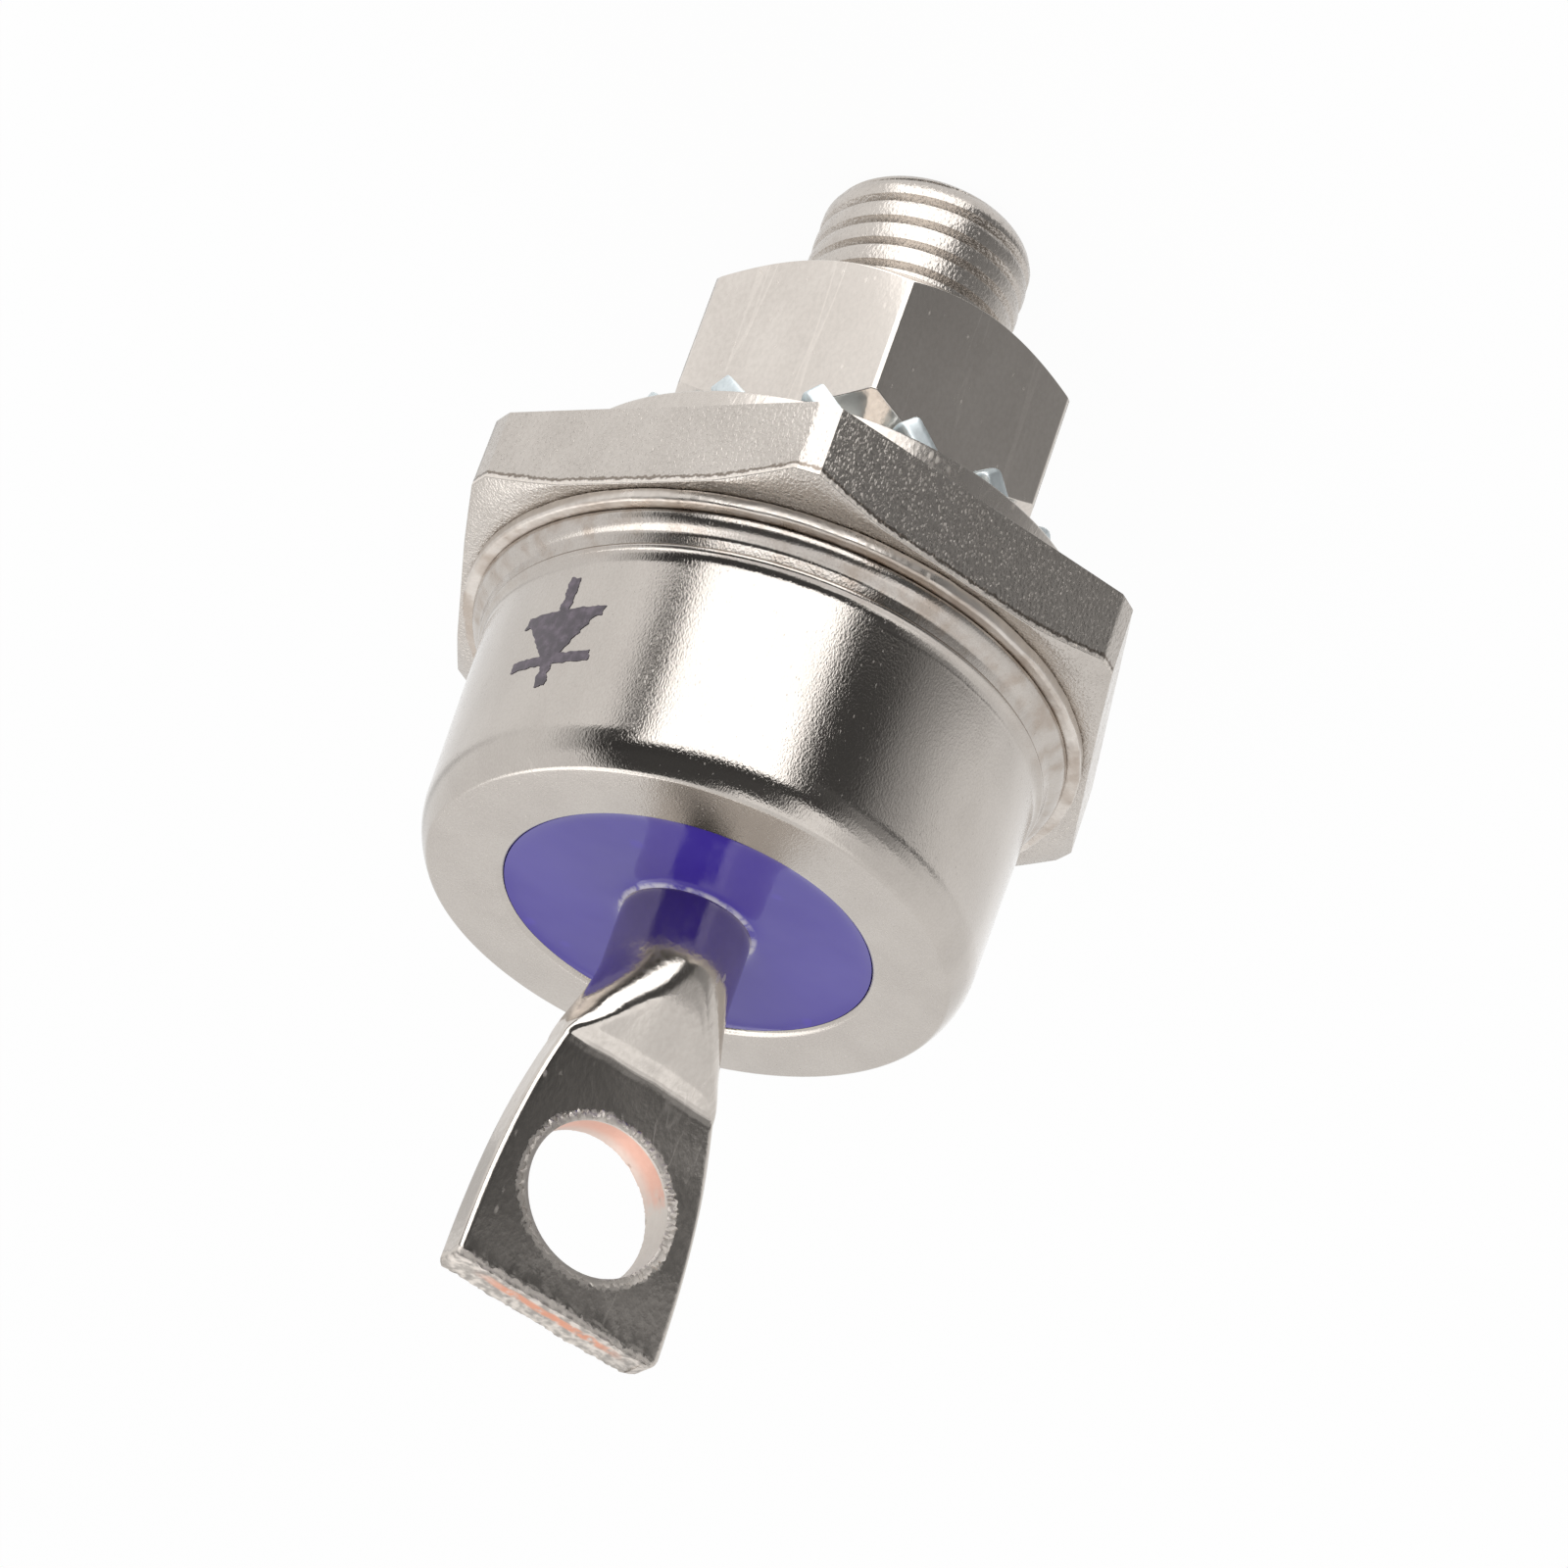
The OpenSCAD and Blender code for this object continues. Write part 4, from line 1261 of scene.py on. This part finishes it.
# Brightness of the reflectors by bearing in degrees, where 1 is white, and of their bright strip
STRIP = 2.4
LIGHT_SIDE = ((0, 1.08), (60, 1.0), (100, 1.02), (140, 1.1), (170, 1.03))
STRIP_END = ((331.5, STRIP), (332.5, 0.12), (340.5, 0.12), (343, 0.85), (347, 1.12), (360, 1.08))
NEAR_TONES = LIGHT_SIDE + ((198, 0.88), (216, 0.6), (228, 0.32), (246, 0.28), (268, 0.2), (276.5, 0.2),
                           (279, STRIP), (331.5, STRIP), (335, 1.12), (360, 1.08))
MIDDLE_TONES = LIGHT_SIDE + ((200, 0.97), (214, 0.88), (228, 0.62), (240, 0.38), (247, 0.2), (252, 0.08),
                             (272, 0.07), (276.5, 0.12), (279, STRIP)) + STRIP_END
FAR_TONES = ((0, 1.08), (30, 0.95), (60, 0.72), (80, 0.72), (110, 1.02), (140, 1.1), (170, 1.03), (200, 0.88),
             (212, 0.4), (222, 0.18), (236, 0.14), (246, 0.125), (256, 0.1), (276.5, 0.14),
             (279, STRIP)) + STRIP_END
FOOT_TONES = ((0, 0.55), (6, 1.0), (190, 0.98), (220, 0.85), (232, 0.4), (250, 0.3), (257, 0.1),
              (276.5, 0.08), (279, STRIP), (331.5, STRIP), (333, 0.08), (351, 0.07), (353, 0.6), (360, 0.8))
RIM_TONES = ((0, 0.55), (6, 1.0), (190, 0.98), (232, 0.9), (248, 0.55), (255, 0.3), (260, 0.08), (351, 0.06),
             (353, 0.6), (360, 0.8))
UPPER_TONES = ((0, 1.0), (190, 1.0), (240, 0.9), (252, 0.95), (258, 1.25), (270, 1.25), (275, 0.09),
               (349, 0.07), (352, 1.0), (360, 1.0))
HIGH_TONES = ((0, 1.0), (236, 1.0), (242, 1.25), (294, 1.25), (300, 0.1), (346, 0.08), (354, 1.0), (360, 1.0))
CROWN_TONES = ((0, STRIP), (110, STRIP), (124, 1.0), (346, 1.0), (356, STRIP), (360, STRIP))
TRAY_R = 70.0 * MM
TRAY_Z = STUD_END + 0.1 * MM
TRAY_START = (3.6 * MM, TRAY_Z)

# Reflectors from the tray's middle outwards and up, each with the radius and height where it ends
CARDS = (
    ("reflector_near", (36.5 * MM, TRAY_Z), NEAR_TONES),
    ("reflector_middle", (53.8 * MM, TRAY_Z), MIDDLE_TONES),
    ("reflector_far", (TRAY_R, TRAY_Z), FAR_TONES),
    ("reflector_foot", (TRAY_R, 6.0 * MM), FOOT_TONES),
    ("reflector_rim", (TRAY_R, 22.7 * MM), RIM_TONES),
    ("reflector_upper", (TRAY_R, 52.0 * MM), UPPER_TONES),
    ("reflector_high", (TRAY_R, 77.0 * MM), HIGH_TONES),
    ("reflector_crown", (35.0 * MM, 100.0 * MM), CROWN_TONES),
)


def card_material(name, tones):
    """Card whose brightness goes by its bearing from the object."""
    material, board = new_material(name)
    place = board.put("ShaderNodeTexCoord").outputs["Object"]
    parts = board.put("ShaderNodeSeparateXYZ", {"Vector": place}).outputs
    bearing = board.math("DIVIDE", board.math("ARCTAN2", parts[1], parts[0]), FULL_TURN)
    bearing = board.math("FRACT", board.plus(bearing, 1.0))
    ramp = board.put("ShaderNodeValToRGB", {"Fac": bearing})
    stops = ramp.color_ramp.elements
    while len(stops) > 1:
        stops.remove(stops[-1])
    for number, (degrees, tone) in enumerate(tones):
        stop = stops[0] if number == 0 else stops.new(degrees / 360)
        stop.position = degrees / 360
        stop.color = (tone, tone, tone, 1.0)
    glow = board.put("ShaderNodeEmission", {"Color": ramp.outputs[0], "Strength": 1.0})
    board.put("ShaderNodeOutputMaterial", {"Surface": glow.outputs[0]})
    return material


def make_card(name, outline, tones):
    """Spins a card round the object."""
    card = turn_outline(outline, 96)
    card.name = name
    card.data.materials.append(card_material(name, tones))
    only_reflected(card)


def make_reflectors():
    """Cards round the object, from the tray up to the crown, that only the metal and glass mirror."""
    start = TRAY_START
    for name, end, tones in CARDS:
        make_card(name, (start, end), tones)
        start = end


def make_lamp(name, place, width, power):
    """Soft square lamp that looks at the cap."""
    clear_selection()
    aim = Vector((0, 0, FACE_Z / 2)) - Vector(place)
    bpy.ops.object.light_add(type="AREA", location=place, rotation=aim.to_track_quat("-Z", "Y").to_euler())
    lamp = current()
    lamp.name = name
    lamp.data.shape = "SQUARE"
    lamp.data.size = width
    lamp.data.energy = power
    lamp.visible_glossy = False


def make_camera(stage):
    right = Vector(stage.camera_right).normalized()
    up = Vector(stage.camera_up)
    up = (up - right * up.dot(right)).normalized()
    turn = Matrix((right, up, right.cross(up))).transposed().to_euler()
    bpy.ops.object.camera_add(location=stage.camera_place, rotation=turn)
    camera = current()
    camera.name = "product_camera"
    camera.data.sensor_fit = "HORIZONTAL"
    camera.data.sensor_width = 36.0
    camera.data.lens = stage.lens
    camera.data.clip_start = 0.005
    camera.data.clip_end = 20.0
    bpy.context.scene.camera = camera


class DIODE_OT_stage(bpy.types.Operator):
    """Makes the floor, the room, the reflectors, the lamps and the camera"""

    bl_idname = "diode.stage"
    bl_label = "Stage"

    def execute(self, context):
        stage = context.scene.diode_stage
        context.scene.view_settings.view_transform = "Standard"
        make_room(stage)
        make_floor()
        make_reflectors()
        make_lamp("key_lamp", (0.16, -0.22, 0.30), 0.25, stage.key_power)
        make_lamp("fill_lamp", (-0.30, 0.10, 0.24), 0.30, stage.key_power * 0.5)
        make_camera(stage)
        return {"FINISHED"}


class DIODE_PT_panel(bpy.types.Panel):
    """Lists the steps that make the diode"""

    bl_idname = "DIODE_PT_panel"
    bl_label = "Stud Diode"
    bl_space_type = "VIEW_3D"
    bl_region_type = "UI"
    bl_category = "Stud Diode"

    def draw(self, context):
        for step in STEPS:
            self.layout.operator(step.bl_idname)
        for group in (context.scene.diode_sizes, context.scene.diode_finishes, context.scene.diode_stage):
            box = self.layout.box()
            for name in group.__annotations__:
                box.prop(group, name)


STEPS = (DIODE_OT_base_stud, DIODE_OT_weld_ring, DIODE_OT_cap, DIODE_OT_mark, DIODE_OT_glass,
         DIODE_OT_terminal, DIODE_OT_flat_washer, DIODE_OT_lock_washer, DIODE_OT_nut, DIODE_OT_inside,
         DIODE_OT_stage)
GROUPS = {"diode_sizes": DiodeSizes, "diode_finishes": DiodeFinishes, "diode_stage": DiodeStage}


def register():
    for group in GROUPS.values():
        bpy.utils.register_class(group)
    for name, group in GROUPS.items():
        setattr(bpy.types.Scene, name, PointerProperty(type=group))
    for step in STEPS:
        bpy.utils.register_class(step)
    bpy.utils.register_class(DIODE_PT_panel)


def unregister():
    bpy.utils.unregister_class(DIODE_PT_panel)
    for step in reversed(STEPS):
        bpy.utils.unregister_class(step)
    for name, group in GROUPS.items():
        delattr(bpy.types.Scene, name)
        bpy.utils.unregister_class(group)


def main():
    register()
    bpy.ops.diode.stage()
    bpy.ops.diode.base_stud()
    bpy.ops.diode.weld_ring()
    bpy.ops.diode.cap()
    bpy.ops.diode.mark()
    bpy.ops.diode.glass()
    bpy.ops.diode.terminal()
    bpy.ops.diode.flat_washer()
    bpy.ops.diode.lock_washer()
    bpy.ops.diode.nut()
    bpy.ops.diode.inside()


if __name__ == "__main__":
    main()
